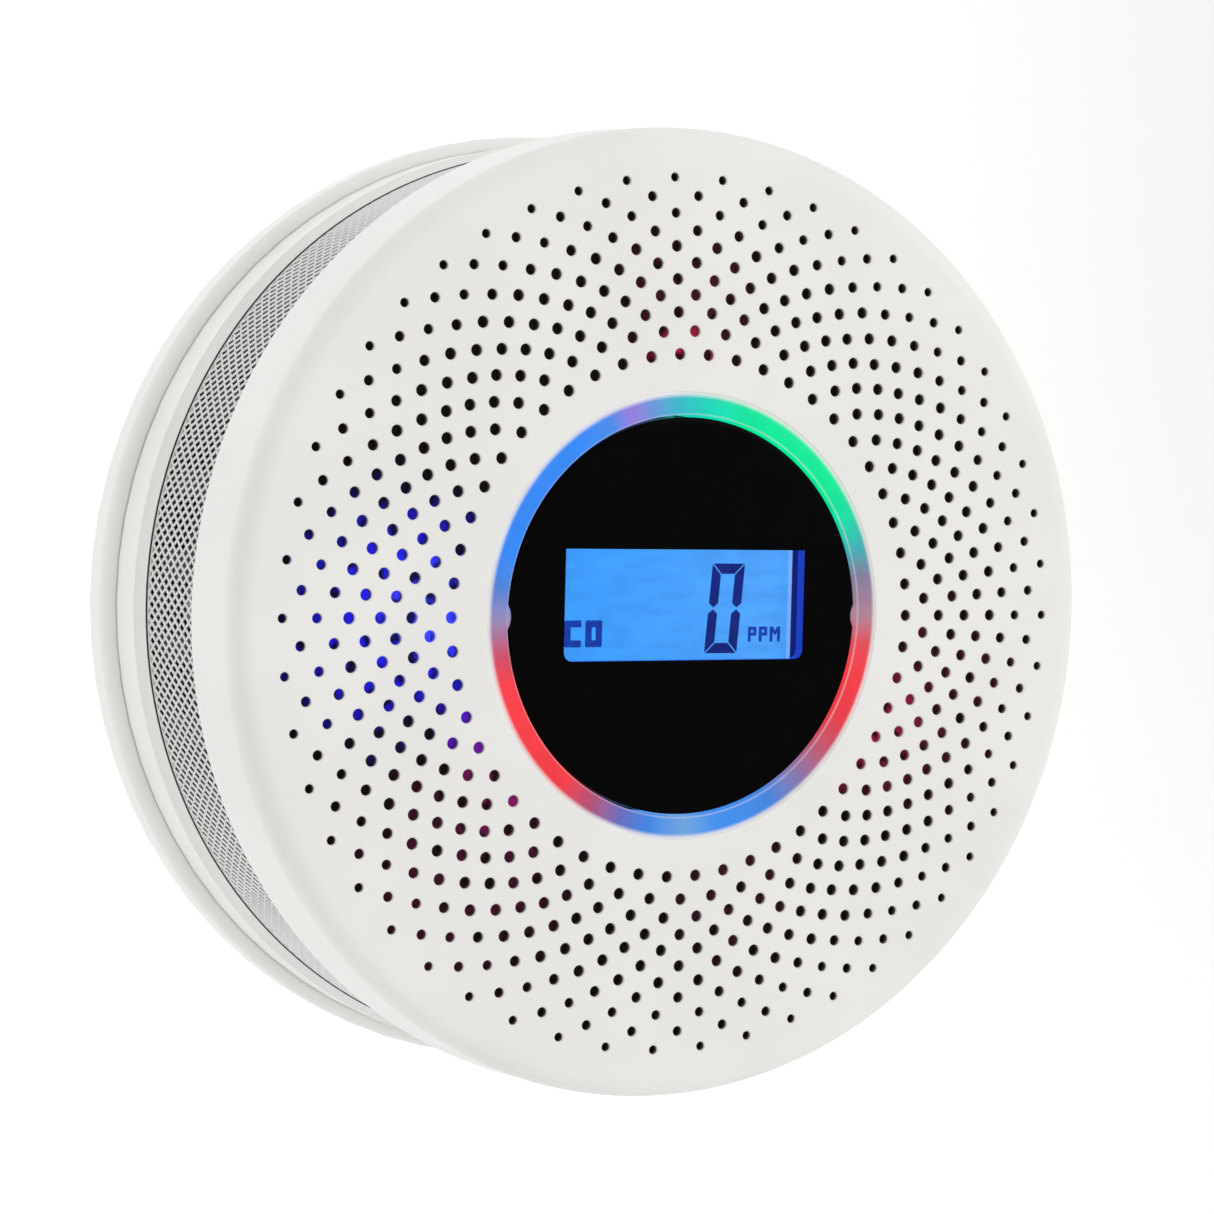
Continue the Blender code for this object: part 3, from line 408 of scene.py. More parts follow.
def new_group(name, inputs, outputs):
    """A node group with numbers going in and coming out, its inputs and its last node."""
    group = bpy.data.node_groups.new(name, "ShaderNodeTree")
    for label, default in inputs.items():
        socket = group.interface.new_socket(label, in_out="INPUT",
                                            socket_type="NodeSocketFloat")
        socket.default_value = default
    for label in outputs:
        group.interface.new_socket(label, in_out="OUTPUT", socket_type="NodeSocketFloat")
    entry = group.nodes.new("NodeGroupInput")
    return group, entry.outputs, group.nodes.new("NodeGroupOutput")


def grain_group():
    """Fine texture of a moulded surface: height, roughness and a faint tint."""
    group, given, leave = new_group("Moulded grain",
                                    {"Fineness": 4000.0, "Roughness": 0.45, "Spread": 0.06},
                                    ("Height", "Roughness", "Shade"))
    place = object_place(group)
    fine = noise(group, place, given["Fineness"], 3.0, 0.6)
    broad = noise(group, place, 60.0, 2.0)
    change = maths(group, "MULTIPLY", maths(group, "SUBTRACT", broad, 0.5), given["Spread"])
    put_all(group, leave, Height=fine,
            Roughness=maths(group, "ADD", change, given["Roughness"]),
            Shade=ease(group, broad, 0.3, 0.7, 0.965, 1.0))
    return group


def angle_group():
    """How far round the face a point is, from 0 at +X through 0.25 at +Z to 1."""
    group, _, leave = new_group("Angle round face", {}, ("Turn",))
    parts = parts_of(group, object_place(group))
    angle = maths(group, "ARCTAN2", parts["Z"], parts["X"])
    share = maths(group, "MULTIPLY", angle, 1 / math.tau)
    put(group, leave, "Turn", maths(group, "FRACT", share))
    return group


def spot_group():
    """1 near a point on the face and 0 past a distance from it."""
    group, given, leave = new_group("Light spot", {"X": 0.0, "Z": 0.0, "Reach": 0.01},
                                    ("Mask",))
    parts = parts_of(group, object_place(group))
    away = vectors(group, "DISTANCE", flat_place(group, parts["X"], parts["Z"]),
                   flat_place(group, given["X"], given["Z"]))
    share = maths(group, "DIVIDE", away, given["Reach"])
    put(group, leave, "Mask", ease(group, share, 0.25, 1.0, 1.0, 0.0))
    return group


GROUP_MAKERS = {"grain": grain_group, "angle": angle_group, "spot": spot_group}
GROUPS = {}


def place_group(tree, name, **values):
    """Place a shared effect, built the first time it is asked for, and give its outputs."""
    if name not in GROUPS:
        GROUPS[name] = GROUP_MAKERS[name]()
    node = add_node(tree, "ShaderNodeGroup", node_tree=GROUPS[name])
    put_all(tree, node, **values)
    return node.outputs


def new_material(name, **values):
    """A material, its tree and its Principled BSDF; values go on the shader's own sockets."""
    material = bpy.data.materials.new(name)
    material.use_nodes = True
    tree = material.node_tree
    shader = tree.nodes["Principled BSDF"]
    put_all(tree, shader, **values)
    return material, tree, shader


def add_glow(tree, shader, tint):
    """Let the surface give off a colour of its own."""
    put(tree, shader, "Emission Color", tint)
    put(tree, shader, "Emission Strength", 1.0)


def add_grain(tree, shader, tint, fineness, roughness, spread, depth, strength):
    """Link the shared grain to colour, roughness and bump, and give back the colour."""
    grain = place_group(tree, "grain", Fineness=fineness, Roughness=roughness, Spread=spread)
    bump = add_node(tree, "ShaderNodeBump")
    put_all(tree, bump, Distance=depth, Strength=strength, Height=grain["Height"])
    shade = mix(tree, 1.0, tint, grain["Shade"], "MULTIPLY")
    put_all(tree, shader, Base_Color=shade, Roughness=grain["Roughness"],
            Normal=bump.outputs["Normal"])
    return shade


# ---- painted light that leaks through the holes, and painted shade down them ---------------
# painted glow spots: the middle of each spot as x and z, how far it reaches, and its colour
LEAKS = (
    (-0.0385, 0.0000, 0.0190, (0.010, 0.008, 0.62)),
    (-0.0345, 0.0010, 0.0090, (0.025, 0.045, 0.55)),
    (0.0270, -0.0135, 0.0115, (0.32, 0.006, 0.060)),
    (0.0360, -0.0110, 0.0190, (0.045, 0.004, 0.010)),
    (-0.0010, 0.0305, 0.0075, (0.36, 0.005, 0.050)),
    (0.0000, 0.0390, 0.0130, (0.035, 0.004, 0.008)),
    (-0.0225, -0.0200, 0.0100, (0.15, 0.003, 0.080)),
    (-0.0290, -0.0135, 0.0055, (0.06, 0.003, 0.280)),
    (-0.0290, -0.0300, 0.0200, (0.035, 0.002, 0.014)),
    (0.0080, -0.0340, 0.0130, (0.025, 0.003, 0.010)),
)
# distances from the middle between which the face is drilled
DRILLED_FROM = 0.0306
DRILLED_TO = 0.0550


def painted_leak_glow(tree, share):
    """Painted glow of the leaking light: a sum of spots, unevenly strong from one hole to the
    next.
    """
    total = None
    for x, z, reach, tint in LEAKS:
        mask = place_group(tree, "spot", X=x, Z=z, Reach=reach)["Mask"]
        glow = vectors(tree, "SCALE", [share * part for part in tint], mask)
        total = glow if total is None else vectors(tree, "ADD", total, glow)
    uneven = noise(tree, object_place(tree), 420.0, 1.0)
    return vectors(tree, "SCALE", total, ease(tree, uneven, 0.40, 0.60, 0.04, 1.2))


def hole_shade_mask(tree):
    """Mask of the painted shade in the holes: 0 on the face and 1 a little way down a hole, only
    in the drilled zone.
    """
    parts = parts_of(tree, object_place(tree))
    radius = vectors(tree, "LENGTH", flat_place(tree, parts["X"], parts["Z"]))
    away = maths(tree, "SUBTRACT", radius, (DRILLED_FROM + DRILLED_TO) / 2)
    half = (DRILLED_TO - DRILLED_FROM) / 2
    zone = ease(tree, maths(tree, "ABSOLUTE", away), half + 0.0002, half + 0.0004, 1.0, 0.0)
    depth = ease(tree, parts["Y"], 0.00008 - FACE, 0.00050 - FACE, 0.0, 1.0)
    return maths(tree, "MULTIPLY", zone, depth)


# ---- finishes ------------------------------------------------------------------------------
# painted shade for the walls of the holes, a little way down
HOLE_WALL_PAINTED_SHADE = (0.11, 0.080, 0.070)
# where the lit part of the screen ends, as X
LIT_EDGE = 0.0168
# the middle and half the width of the large digit, as X
DIGIT_MIDDLE = 0.0071
DIGIT_REACH = 0.0032
# the light ring's tint at +X, where its round of colours starts and ends
RING_SEAM = (0.42, 0.22, 0.30)
# painted light at the ring's edges: a highlight at the inner edge and the lit white of the cover
# at the outer edge
RING_EDGE_PAINTED_LIGHT = (0.80, 0.80, 0.79)
# painted glow: the blue of the screen caught in the cut edge of the window
WINDOW_EDGE_PAINTED_GLOW = (0.012, 0.050, 0.55)
# how strongly the painted glow of the leaks shows on the walls of the holes, beside the cloth
# behind them
WALL_LEAK_SHARE = 0.45


def white_plastic(name, painted_hole_shade_and_glow=False):
    tint = bpy.context.scene.alarm_colours.plastic
    material, tree, shader = new_material(name, IOR=1.46, Specular_IOR_Level=0.4)
    clean = add_grain(tree, shader, tint, fineness=5200.0, roughness=0.46, spread=0.05,
                      depth=0.00002, strength=0.25)
    if painted_hole_shade_and_glow:
        # painted shade: the walls of the holes darken with depth
        depth = hole_shade_mask(tree)
        put(tree, shader, "Base Color", mix(tree, depth, clean, HOLE_WALL_PAINTED_SHADE))
        # painted glow of the leaking light on the walls of the holes
        leaks = painted_leak_glow(tree, WALL_LEAK_SHARE)
        add_glow(tree, shader, vectors(tree, "SCALE", leaks, depth))
    return material


def dust_screen_finish():
    """Black filter cloth behind the holes, with the light that comes through it painted on as
    glow.
    """
    material, tree, shader = new_material("Filter cloth", Specular_IOR_Level=0.1)
    add_grain(tree, shader, (0.050, 0.040, 0.034), fineness=6000.0, roughness=0.85,
              spread=0.1, depth=0.00005, strength=0.4)
    add_glow(tree, shader, painted_leak_glow(tree, 1.0))
    return material


def wire_finish():
    tint = bpy.context.scene.alarm_colours.wire
    material, tree, shader = new_material("Coated wire")
    add_grain(tree, shader, tint, fineness=9000.0, roughness=0.42, spread=0.1,
              depth=0.00002, strength=0.3)
    return material


def plain_plastic(name, tint, roughness):
    material, tree, shader = new_material(name)
    add_grain(tree, shader, tint, fineness=3500.0, roughness=roughness, spread=0.08,
              depth=0.00003, strength=0.3)
    return material


def metal(name, tint, roughness, fineness):
    material, tree, shader = new_material(name, Metallic=1.0)
    add_grain(tree, shader, tint, fineness=fineness, roughness=roughness, spread=0.15,
              depth=0.00001, strength=0.2)
    return material


def light_ring_finish():
    """Frosted ring whose colour goes round in soft steps, paler at its two edges: a painted
    highlight inside and painted lit white outside.
    """
    colours = bpy.context.scene.alarm_colours
    red, green, blue = (tuple(c) for c in (colours.red, colours.green, colours.blue))
    stops = (
        (0, RING_SEAM), (11, (0.24, 0.20, 0.34)), (19, (0.05, 0.42, 0.47)),
        (29, (0.005, 0.72, 0.38)), (40, green), (72, (0.0, 0.82, 0.35)),
        (86, (0.008, 0.66, 0.50)), (95, (0.04, 0.48, 0.62)), (103, (0.15, 0.30, 0.72)),
        (109, (0.31, 0.19, 0.70)), (116, (0.07, 0.27, 0.86)), (126, blue), (163, blue),
        (172, (0.08, 0.24, 0.74)), (181, (0.31, 0.25, 0.47)), (190, (0.62, 0.08, 0.15)),
        (198, (0.95, 0.05, 0.07)), (230, red), (241, (0.42, 0.09, 0.20)),
        (250, (0.14, 0.16, 0.52)), (259, (0.05, 0.24, 0.80)), (270, (0.16, 0.38, 0.76)),
        (281, (0.05, 0.27, 0.84)), (298, (0.06, 0.24, 0.74)), (309, (0.24, 0.19, 0.42)),
        (319, (0.50, 0.10, 0.17)), (330, (0.80, 0.045, 0.065)), (344, red),
        (352, (0.78, 0.07, 0.10)), (360, RING_SEAM),
    )
    material, tree, shader = new_material("Lit ring", Roughness=0.32, Base_Color=(0, 0, 0, 1),
                                          Specular_IOR_Level=0.12)
    ramp = add_node(tree, "ShaderNodeValToRGB")
    put(tree, ramp, "Fac", place_group(tree, "angle")["Turn"])
    elements = ramp.color_ramp.elements
    for degrees, tint in stops[1:-1]:
        elements.new(degrees / 360).color = (*tint, 1.0)
    elements[0].color = (*stops[0][1], 1.0)
    elements[-1].color = (*stops[-1][1], 1.0)
    place = object_place(tree)
    parts = parts_of(tree, place)
    radius = vectors(tree, "LENGTH", flat_place(tree, parts["X"], parts["Z"]))
    # painted light along both edges: a painted highlight on the inner one, only near the front,
    # and the painted lit white of the cover on the outer one
    inner = ease(tree, radius, RING_INNER + 0.00008, RING_INNER + 0.00026, 0.28, 0.0)
    outer = ease(tree, radius, RING_INNER + 0.00200, RING_INNER + 0.00268, 0.0, 0.90)
    front = ease(tree, parts["Y"], 0.00006 - RING_FRONT, 0.00030 - RING_FRONT, 1.0, 0.0)
    pale = maths(tree, "ADD", maths(tree, "MULTIPLY", inner, front), outer)
    tint = mix(tree, pale, ramp.outputs["Color"], RING_EDGE_PAINTED_LIGHT)
    level = ease(tree, noise(tree, place, 350.0, 2.0), 0.2, 0.8, 0.93, 1.04)
    add_glow(tree, shader, mix(tree, 1.0, tint, level, "MULTIPLY"))
    return material


def lens_finish():
    """Black acrylic, with the screen's blue caught in the cut edge of the window painted on as
    glow.
    """
    material, tree, shader = new_material("Black acrylic", Base_Color=(0.002, 0.002, 0.002, 1),
                                          IOR=1.45, Specular_IOR_Level=0.02)
    place = object_place(tree)
    parts = parts_of(tree, place)
    haze = noise(tree, place, 90.0, 5.0)
    put(tree, shader, "Roughness", ease(tree, haze, 0.3, 0.75, 0.05, 0.13))
    sizes = bpy.context.scene.alarm_display
    middle = (sizes.window_top - sizes.window_bottom) / 2
    half_height = (sizes.window_top + sizes.window_bottom) / 2
    reach = 0.00004
    across = maths(tree, "COMPARE", parts["X"], 0.0, sizes.window_half_width + reach)
    upright = maths(tree, "COMPARE", parts["Z"], middle, half_height + reach)
    deep = ease(tree, parts["Y"], 0.00005 - LENS_FRONT, 0.00010 - LENS_FRONT, 0.0, 1.0)
    edge = maths(tree, "MULTIPLY", maths(tree, "MULTIPLY", across, upright), deep)
    add_glow(tree, shader, vectors(tree, "SCALE", WINDOW_EDGE_PAINTED_GLOW, edge))
    return material


def window_finish():
    material, tree, shader = new_material("Clear window", Base_Color=(0.02, 0.04, 0.10, 1),
                                          Alpha=0.03, Specular_IOR_Level=0.1)
    haze = noise(tree, object_place(tree), 120.0, 4.0)
    put(tree, shader, "Roughness", ease(tree, haze, 0.3, 0.75, 0.04, 0.12))
    return material


def screen_finish():
    """Blue lit cell: a soft cloudy glow, a pale line, and a dark strip past the lit area."""
    backlight = bpy.context.scene.alarm_colours.backlight
    material, tree, shader = new_material("Lit screen", Roughness=0.25,
                                          Base_Color=(0.0, 0.01, 0.05, 1),
                                          Specular_IOR_Level=0.2)
    place = object_place(tree)
    x = parts_of(tree, place)["X"]
    cloud = noise(tree, moved(tree, place, Scale=(160.0, 1.0, 620.0)), 1.0, 4.0)
    side = ease(tree, x, -0.018, 0.018, 0.0, 1.0)
    tone = mix(tree, side, backlight, (0.075, 0.375, 1.0))
    bright = mix(tree, 1.0, tone, ease(tree, cloud, 0.3, 0.7, 0.90, 1.08), "MULTIPLY")
    line = ease(tree, x, LIT_EDGE - 0.0006, LIT_EDGE - 0.0004, 0.0, 0.35)
    lit = mix(tree, line, bright, (0.45, 0.55, 1.0))
    rim = ease(tree, x, LIT_EDGE + 0.0010, LIT_EDGE + 0.0012, 0.0, 1.0)
    strip = mix(tree, rim, (0.006, 0.012, 0.16), (0.008, 0.036, 0.44))
    past = ease(tree, x, LIT_EDGE, LIT_EDGE + 0.00012, 0.0, 1.0)
    add_glow(tree, shader, mix(tree, past, lit, strip))
    return material


def segment_finish():
    """Dark liquid crystal; the small marks let more light through than the large digit."""
    tint = bpy.context.scene.alarm_colours.segment
    material, tree, shader = new_material("Dark crystal", Roughness=0.35,
                                          Base_Color=(0.0, 0.005, 0.03, 1),
                                          Specular_IOR_Level=0.1)
    place = object_place(tree)
    level = ease(tree, noise(tree, place, 700.0, 2.0), 0.3, 0.7, 0.8, 1.2)
    digit = maths(tree, "COMPARE", parts_of(tree, place)["X"], DIGIT_MIDDLE, DIGIT_REACH)
    kind = mix(tree, digit, (0.006, 0.040, 0.40), tint)
    add_glow(tree, shader, mix(tree, 1.0, kind, level, "MULTIPLY"))
    return material


def board_finish():
    """Green solder mask over fine tracks."""
    red, green, blue = bpy.context.scene.alarm_colours.board
    material, tree, shader = new_material("Circuit board", Specular_IOR_Level=0.4)
    tracks = add_node(tree, "ShaderNodeTexBrick")
    place = moved(tree, object_place(tree), Rotation=(math.radians(90), 0, 0))
    put_all(tree, tracks, Vector=place, Scale=420.0, Mortar_Size=0.035,
            Color1=(red, green, blue, 1), Color2=(red * 1.3, green * 1.2, blue * 1.2, 1),
            Mortar=(red * 3, green * 2.2, blue * 2, 1))
    grain = place_group(tree, "grain", Fineness=2500.0, Roughness=0.38, Spread=0.1)
    put_all(tree, shader, Base_Color=tracks.outputs["Color"], Roughness=grain["Roughness"])
    return material


def sleeve_finish():
    """Battery sleeve: slate blue body with a pale band near one end."""
    material, tree, shader = new_material("Battery sleeve", Metallic=0.35)
    band = ease(tree, parts_of(tree, object_place(tree))["X"], 0.0115, 0.0118, 0.0, 1.0)
    grain = place_group(tree, "grain", Fineness=3000.0, Roughness=0.30, Spread=0.1)
    put_all(tree, shader, Roughness=grain["Roughness"],
            Base_Color=mix(tree, band, (0.030, 0.085, 0.120), (0.58, 0.60, 0.61)))
    return material


FINISH_MAKERS = {
    "white": lambda: white_plastic("White plastic"),
    "drilled white": lambda: white_plastic("White plastic, drilled", True),
    "wire": wire_finish,
    # grey plastic of the vent cage, darkened to near black as painted shade inside the housing
    # behind the band
    "grey": lambda: plain_plastic("Grey plastic, darkened as painted shade", (0.020, 0.021, 0.023), 0.5),
    "black": lambda: plain_plastic("Black plastic", (0.012, 0.012, 0.013), 0.45),
    "pale": lambda: plain_plastic("Pale plastic", (0.70, 0.69, 0.64), 0.4),
    "steel": lambda: metal("Steel", (0.55, 0.55, 0.57), 0.28, 1800.0),
    "nickel": lambda: metal("Nickel", (0.66, 0.64, 0.60), 0.24, 2600.0),
    "sleeve": sleeve_finish,
    "filter": dust_screen_finish,
    "ring": light_ring_finish,
    "lens": lens_finish,
    "window": window_finish,
    "board": board_finish,
    "segment": segment_finish,
    "screen": screen_finish,
}
FINISHES = {}


def finish(name):
    """The finish of that name, built the first time it is asked for."""
    if name not in FINISHES:
        FINISHES[name] = FINISH_MAKERS[name]()
    return FINISHES[name]


# ---- front cover ---------------------------------------------------------------------------
COVER_SIDES = 200
# gap between the cover's middle hole and the light ring
COVER_HOLE_GAP = 0.00008
# how far out the collar round the middle hole starts
COLLAR_BACK = RING_BACK + 0.0048
# the radius of each ring of holes, and the size of its holes as a share of the innermost
RING_RADII = (0.0321, 0.0349, 0.0372, 0.0393, 0.0412, 0.0432, 0.0452, 0.0471, 0.0492,
              0.0513, 0.0535)
RING_HOLES = (1.0, 1.0, 1.0, 1.0, 1.0, 1.0, 1.0, 0.93, 0.85, 0.86, 0.77)
# the cloth behind the holes: inner radius, outer radius, back and thickness
CLOTH = (0.0300, 0.0572, FACE - 0.0019, 0.0003)


def cover_shell(sizes, ring_width):
    """The side wall, the rounded rim and the face, turned in one go."""
    hole = RING_INNER + ring_width + COVER_HOLE_GAP
    front_radius = COVER_RADIUS - sizes.draft
    flat_radius = front_radius - sizes.rim_round
    rim_start = FACE - sizes.rim_round
    inner_radius = front_radius - sizes.wall
    inner_face = FACE - sizes.face_wall
    edge = 0.00022
    hole_round = 0.00018
    # the rounded back edge, then the side up to the rim
    outline = [(COVER_RADIUS - edge, COVER_BACK), (COVER_RADIUS - 0.00006, COVER_BACK + 0.00007),
               (COVER_RADIUS, COVER_BACK + edge), (COVER_RADIUS - 0.00005, COVER_BACK + 0.001),
               (front_radius, rim_start - 0.0004)]
    # the rim, the face and the rounded edge of the middle hole
    outline += arc((flat_radius, rim_start), sizes.rim_round, 0, 90, 10)
    outline += [(flat_radius - 0.0004, FACE), (DRILLED_TO, FACE), (DRILLED_FROM, FACE),
                (hole + 0.0008, FACE)]
    outline += arc((hole + hole_round, FACE - hole_round), hole_round, 90, 180, 4)
    # the collar round the middle hole, then back out along the inside
    outline += [(hole, COLLAR_BACK), (hole + 0.0015, COLLAR_BACK),
                (hole + 0.0018, inner_face), (inner_radius - 0.0012, inner_face),
                (inner_radius - 0.0002, inner_face - 0.0010),
                (inner_radius, inner_face - 0.0022), (inner_radius + 0.0003, COVER_BACK)]
    return turn("front_cover_drilled", outline, COVER_SIDES)


def flat_ring(name, inner, outer, back, thickness, sides):
    """A plain flat ring, turned from an outline with four corners."""
    front = back + thickness
    return turn(name, [(inner, back), (outer, back), (outer, front), (inner, front)], sides)


def hole_pins(sizes):
    """One flared pin for each ring of holes, copied round the ring and joined."""
    rings = []
    below = FACE - sizes.face_wall - 0.0004
    flare = sizes.hole_edge * 1.1
    for ring in range(min(sizes.rings, len(RING_RADII))):
        radius = sizes.hole_radius * RING_HOLES[ring]
        start = (ring % 2) * 0.5 * math.tau / sizes.holes
        deselect()
        bpy.ops.mesh.primitive_cylinder_add(
            vertices=14, radius=radius, depth=FACE - sizes.hole_edge - below,
            location=(RING_RADII[ring], -(FACE - sizes.hole_edge + below) / 2, 0),
            rotation=(math.radians(90), 0, 0))
        pin = settle(bpy.context.object)
        edit(pin)
        pick(pin, "FACE", lambda face: face.normal.y < -0.9)
        bpy.ops.mesh.extrude_region_move(
            TRANSFORM_OT_translate={"value": (0, -flare, 0)})
        swell = (radius + flare) / radius
        bpy.ops.transform.resize(value=(swell, 1, swell))
        bpy.ops.mesh.extrude_region_move(TRANSFORM_OT_translate={"value": (0, -0.0003, 0)})
        bpy.ops.object.mode_set(mode="OBJECT")
        deselect()
        bpy.ops.object.empty_add(location=(0, 0, 0),
                                 rotation=(0, -math.tau / sizes.holes, 0))
        guide = bpy.context.object
        array = pin.modifiers.new("Round the ring", "ARRAY")
        array.use_relative_offset = False
        array.use_object_offset = True
        array.offset_object = guide
        array.count = sizes.holes
        apply_all(pin)
        bpy.data.objects.remove(guide, do_unlink=True)
        pin.rotation_euler = (0, -start, 0)
        rings.append(settle(pin))
    return join("hole_pins", rings)


class ALARM_OT_front_cover(bpy.types.Operator):
    """Turn the front cover and drill its rings of holes"""
    bl_idname = "alarm.front_cover"
    bl_label = "Front cover"

    def execute(self, context):
        sizes = context.scene.alarm_cover
        cover = cover_shell(sizes, context.scene.alarm_display.ring_width)
        carve(cover, hole_pins(sizes))
        even_out(smooth(cover, 30))
        finish_piece(cover, finish("drilled white"), "head", "white_plastic", "front_cover")
        screen = flat_ring("dust_screen", *CLOTH, 96)
        smooth(soften(screen, 0.00006, 1), 30)
        finish_piece(screen, finish("filter"), "head", "grey_plastic")
        return {"FINISHED"}


# ---- woven band ----------------------------------------------------------------------------
# how far the wires stand outside the plain band of the frame
BAND_STANDS_OUT = 0.0004
# how far out the wires start and end
BAND_BACK = MESH_BACK + 0.0001
BAND_FRONT = MESH_FRONT - 0.0002
# a black ring behind the band, painted shadow in the gap there: inner radius, outer radius, back
# and thickness
SHADOW_LINE_RING = (0.0577, 0.05884, MESH_BACK - 0.00028, 0.00027)


class ALARM_OT_mesh_band(bpy.types.Operator):
    """Weave the band of wire diamonds between the cover and the housing"""
    bl_idname = "alarm.mesh_band"
    bl_label = "Woven band"

    def execute(self, context):
        sizes = context.scene.alarm_mesh
        radius = MESH_RADIUS + BAND_STANDS_OUT - sizes.wire * 0.5
        deselect()
        bpy.ops.mesh.primitive_cylinder_add(
            vertices=sizes.cells_around, radius=radius, depth=BAND_FRONT - BAND_BACK,
            end_fill_type="NOTHING", location=(0, -(BAND_BACK + BAND_FRONT) / 2, 0),
            rotation=(math.radians(90), 0, 0))
        band = settle(bpy.context.object)
        band.name = "woven_band"
        edit(band)
        pick_edges(band, lambda a, b: abs(a.y - b.y) > 0.001)
        bpy.ops.mesh.subdivide(number_cuts=sizes.cells_across - 1)
        bpy.ops.mesh.select_all(action="SELECT")
        bpy.ops.mesh.poke()
        step = math.tau / sizes.cells_around

        def along_grid(a, b):
            turned = abs(math.atan2(a.z, a.x) - math.atan2(b.z, b.x))
            turned = min(turned, math.tau - turned)
            return abs(a.y - b.y) < 1e-6 or turned < step * 0.25

        pick_edges(band, along_grid)
        bpy.ops.mesh.dissolve_edges(use_verts=False)
        bpy.ops.object.mode_set(mode="OBJECT")
        wires = band.modifiers.new("Wires", "WIREFRAME")
        wires.thickness = sizes.wire
        wires.use_boundary = True
        wires.use_even_offset = False
        apply_all(band)
        smooth(band, 60)
        finish_piece(band, finish("wire"), "head", "mesh_metal", "mesh_band")
        # a black ring standing for the shadow in the gap between band and housing
        shadow_line = flat_ring("shadow_line_ring", *SHADOW_LINE_RING, 180)
        smooth(soften(shadow_line, 0.00005, 1), 30)
        finish_piece(shadow_line, finish("black"), "head", "grey_plastic")
        return {"FINISHED"}


# ---- light ring, lens and display ----------------------------------------------------------
# the two keys: half their width, and how far they reach into the lens
KEY_HALF = 0.0016
KEY_REACH = 0.0005
# how far out the flange that holds the ring starts and ends
FLANGE_BACK = RING_BACK + 0.0033
FLANGE_FRONT = RING_BACK + 0.0045


def key_slab(name, side, half, inner, outer, back, front):
    """A block with a bowed end that reaches from the ring into the lens."""
    bow = RING_INNER - inner
    radius = (half * half + bow * bow) / (2 * bow)
    spread = math.degrees(math.asin(half / radius))
    corners = [(outer, half)]
    corners += arc((inner + radius, 0.0), radius, 180 - spread, 180 + spread, 12)
    corners += [(outer, -half)]
    return slab(name, [(side * x, z) for x, z in corners], back, front)


class ALARM_OT_light_ring(bpy.types.Operator):
    """Turn the lit ring and add the two keys that hold the lens"""
    bl_idname = "alarm.light_ring"
    bl_label = "Light ring"

    def execute(self, context):
        sizes = context.scene.alarm_display
        outer = RING_INNER + sizes.ring_width
        bead = sizes.ring_round
        outline = [(RING_INNER, RING_BACK)]
        outline += arc((RING_INNER + bead, RING_FRONT - bead), bead, 180, 90, 5)
        outline += arc((outer - bead, RING_FRONT - bead), bead, 90, 0, 5)
        outline += [(outer, FLANGE_FRONT), (RING_FLANGE_RADIUS, FLANGE_FRONT),
                    (RING_FLANGE_RADIUS, FLANGE_BACK), (outer, FLANGE_BACK),
                    (outer, RING_BACK)]
        ring = turn("lit_ring", outline, 240)
        for side in (1, -1):
            key = key_slab("ring_key", side, KEY_HALF, RING_INNER - KEY_REACH,
                           RING_INNER + 0.0004, LENS_BACK, RING_FRONT - bead)
            carve(ring, key, "UNION")
        smooth(ring, 34)
        finish_piece(ring, finish("ring"), "head", "light_guide", "light_ring")
        return {"FINISHED"}


def window_corners(sizes, shrink=0.0):
    """Outline of the window: square at the top, rounded at the two lower corners."""
    half = sizes.window_half_width - shrink
    top = sizes.window_top - shrink
    bottom = -sizes.window_bottom + shrink
    soft = sizes.window_corner
    corners = [(-half, top)]
    corners += arc((-half + soft, bottom + soft), soft, 180, 270, 5)
    corners += arc((half - soft, bottom + soft), soft, 270, 360, 5)
    corners += [(half, top)]
    return corners


class ALARM_OT_lens(bpy.types.Operator):
    """Turn the black lens, cut its window and key notches, and glaze the window"""
    bl_idname = "alarm.lens"
    bl_label = "Lens"

    def execute(self, context):
        sizes = context.scene.alarm_display
        bead = 0.00018
        outline = [(0.0, LENS_BACK), (LENS_RADIUS, LENS_BACK)]
        outline += arc((LENS_RADIUS - bead, LENS_FRONT - bead), bead, 0, 90, 4)
        outline += [(LENS_RADIUS - 0.0006, LENS_FRONT), (0.0, LENS_FRONT)]
        lens = turn("black_lens", outline, 240, closed=False)
        past = 0.001
        carve(lens, slab("window_tool", window_corners(sizes), LENS_BACK - past,
                         LENS_FRONT + past))
        for side in (1, -1):
            carve(lens, key_slab("notch_tool", side, KEY_HALF + GAP,
                                 RING_INNER - KEY_REACH - GAP, LENS_RADIUS + past,
                                 LENS_BACK - past, LENS_FRONT + past))
        smooth(lens, 30)
        finish_piece(lens, finish("lens"), "test_button", "black_gloss", "display_lens")
        pane = slab("window_pane", window_corners(sizes, 0.00001), LENS_FRONT - 0.0005,
                    LENS_FRONT - 0.00004)
        soften(pane, 0.00003, 1)
        finish_piece(pane, finish("window"), "test_button", "black_gloss")
        return {"FINISHED"}


def flat_marks(name, shapes, back, front):
    """Several filled outlines joined into one thin raised mark."""
    return join(name, [slab("mark", corners, back, front) for corners in shapes])


def bar(x_from, x_to, z_from, z_to, soft=0.0):
    """Corners of an upright bar, cut off a little where it is to look soft."""
    if soft == 0.0:
        return [(x_from, z_from), (x_to, z_from), (x_to, z_to), (x_from, z_to)]
    return [(x_from + soft, z_from), (x_to - soft, z_from), (x_to, z_from + soft),
            (x_to, z_to - soft), (x_to - soft, z_to), (x_from + soft, z_to),
            (x_from, z_to - soft), (x_from, z_from + soft)]


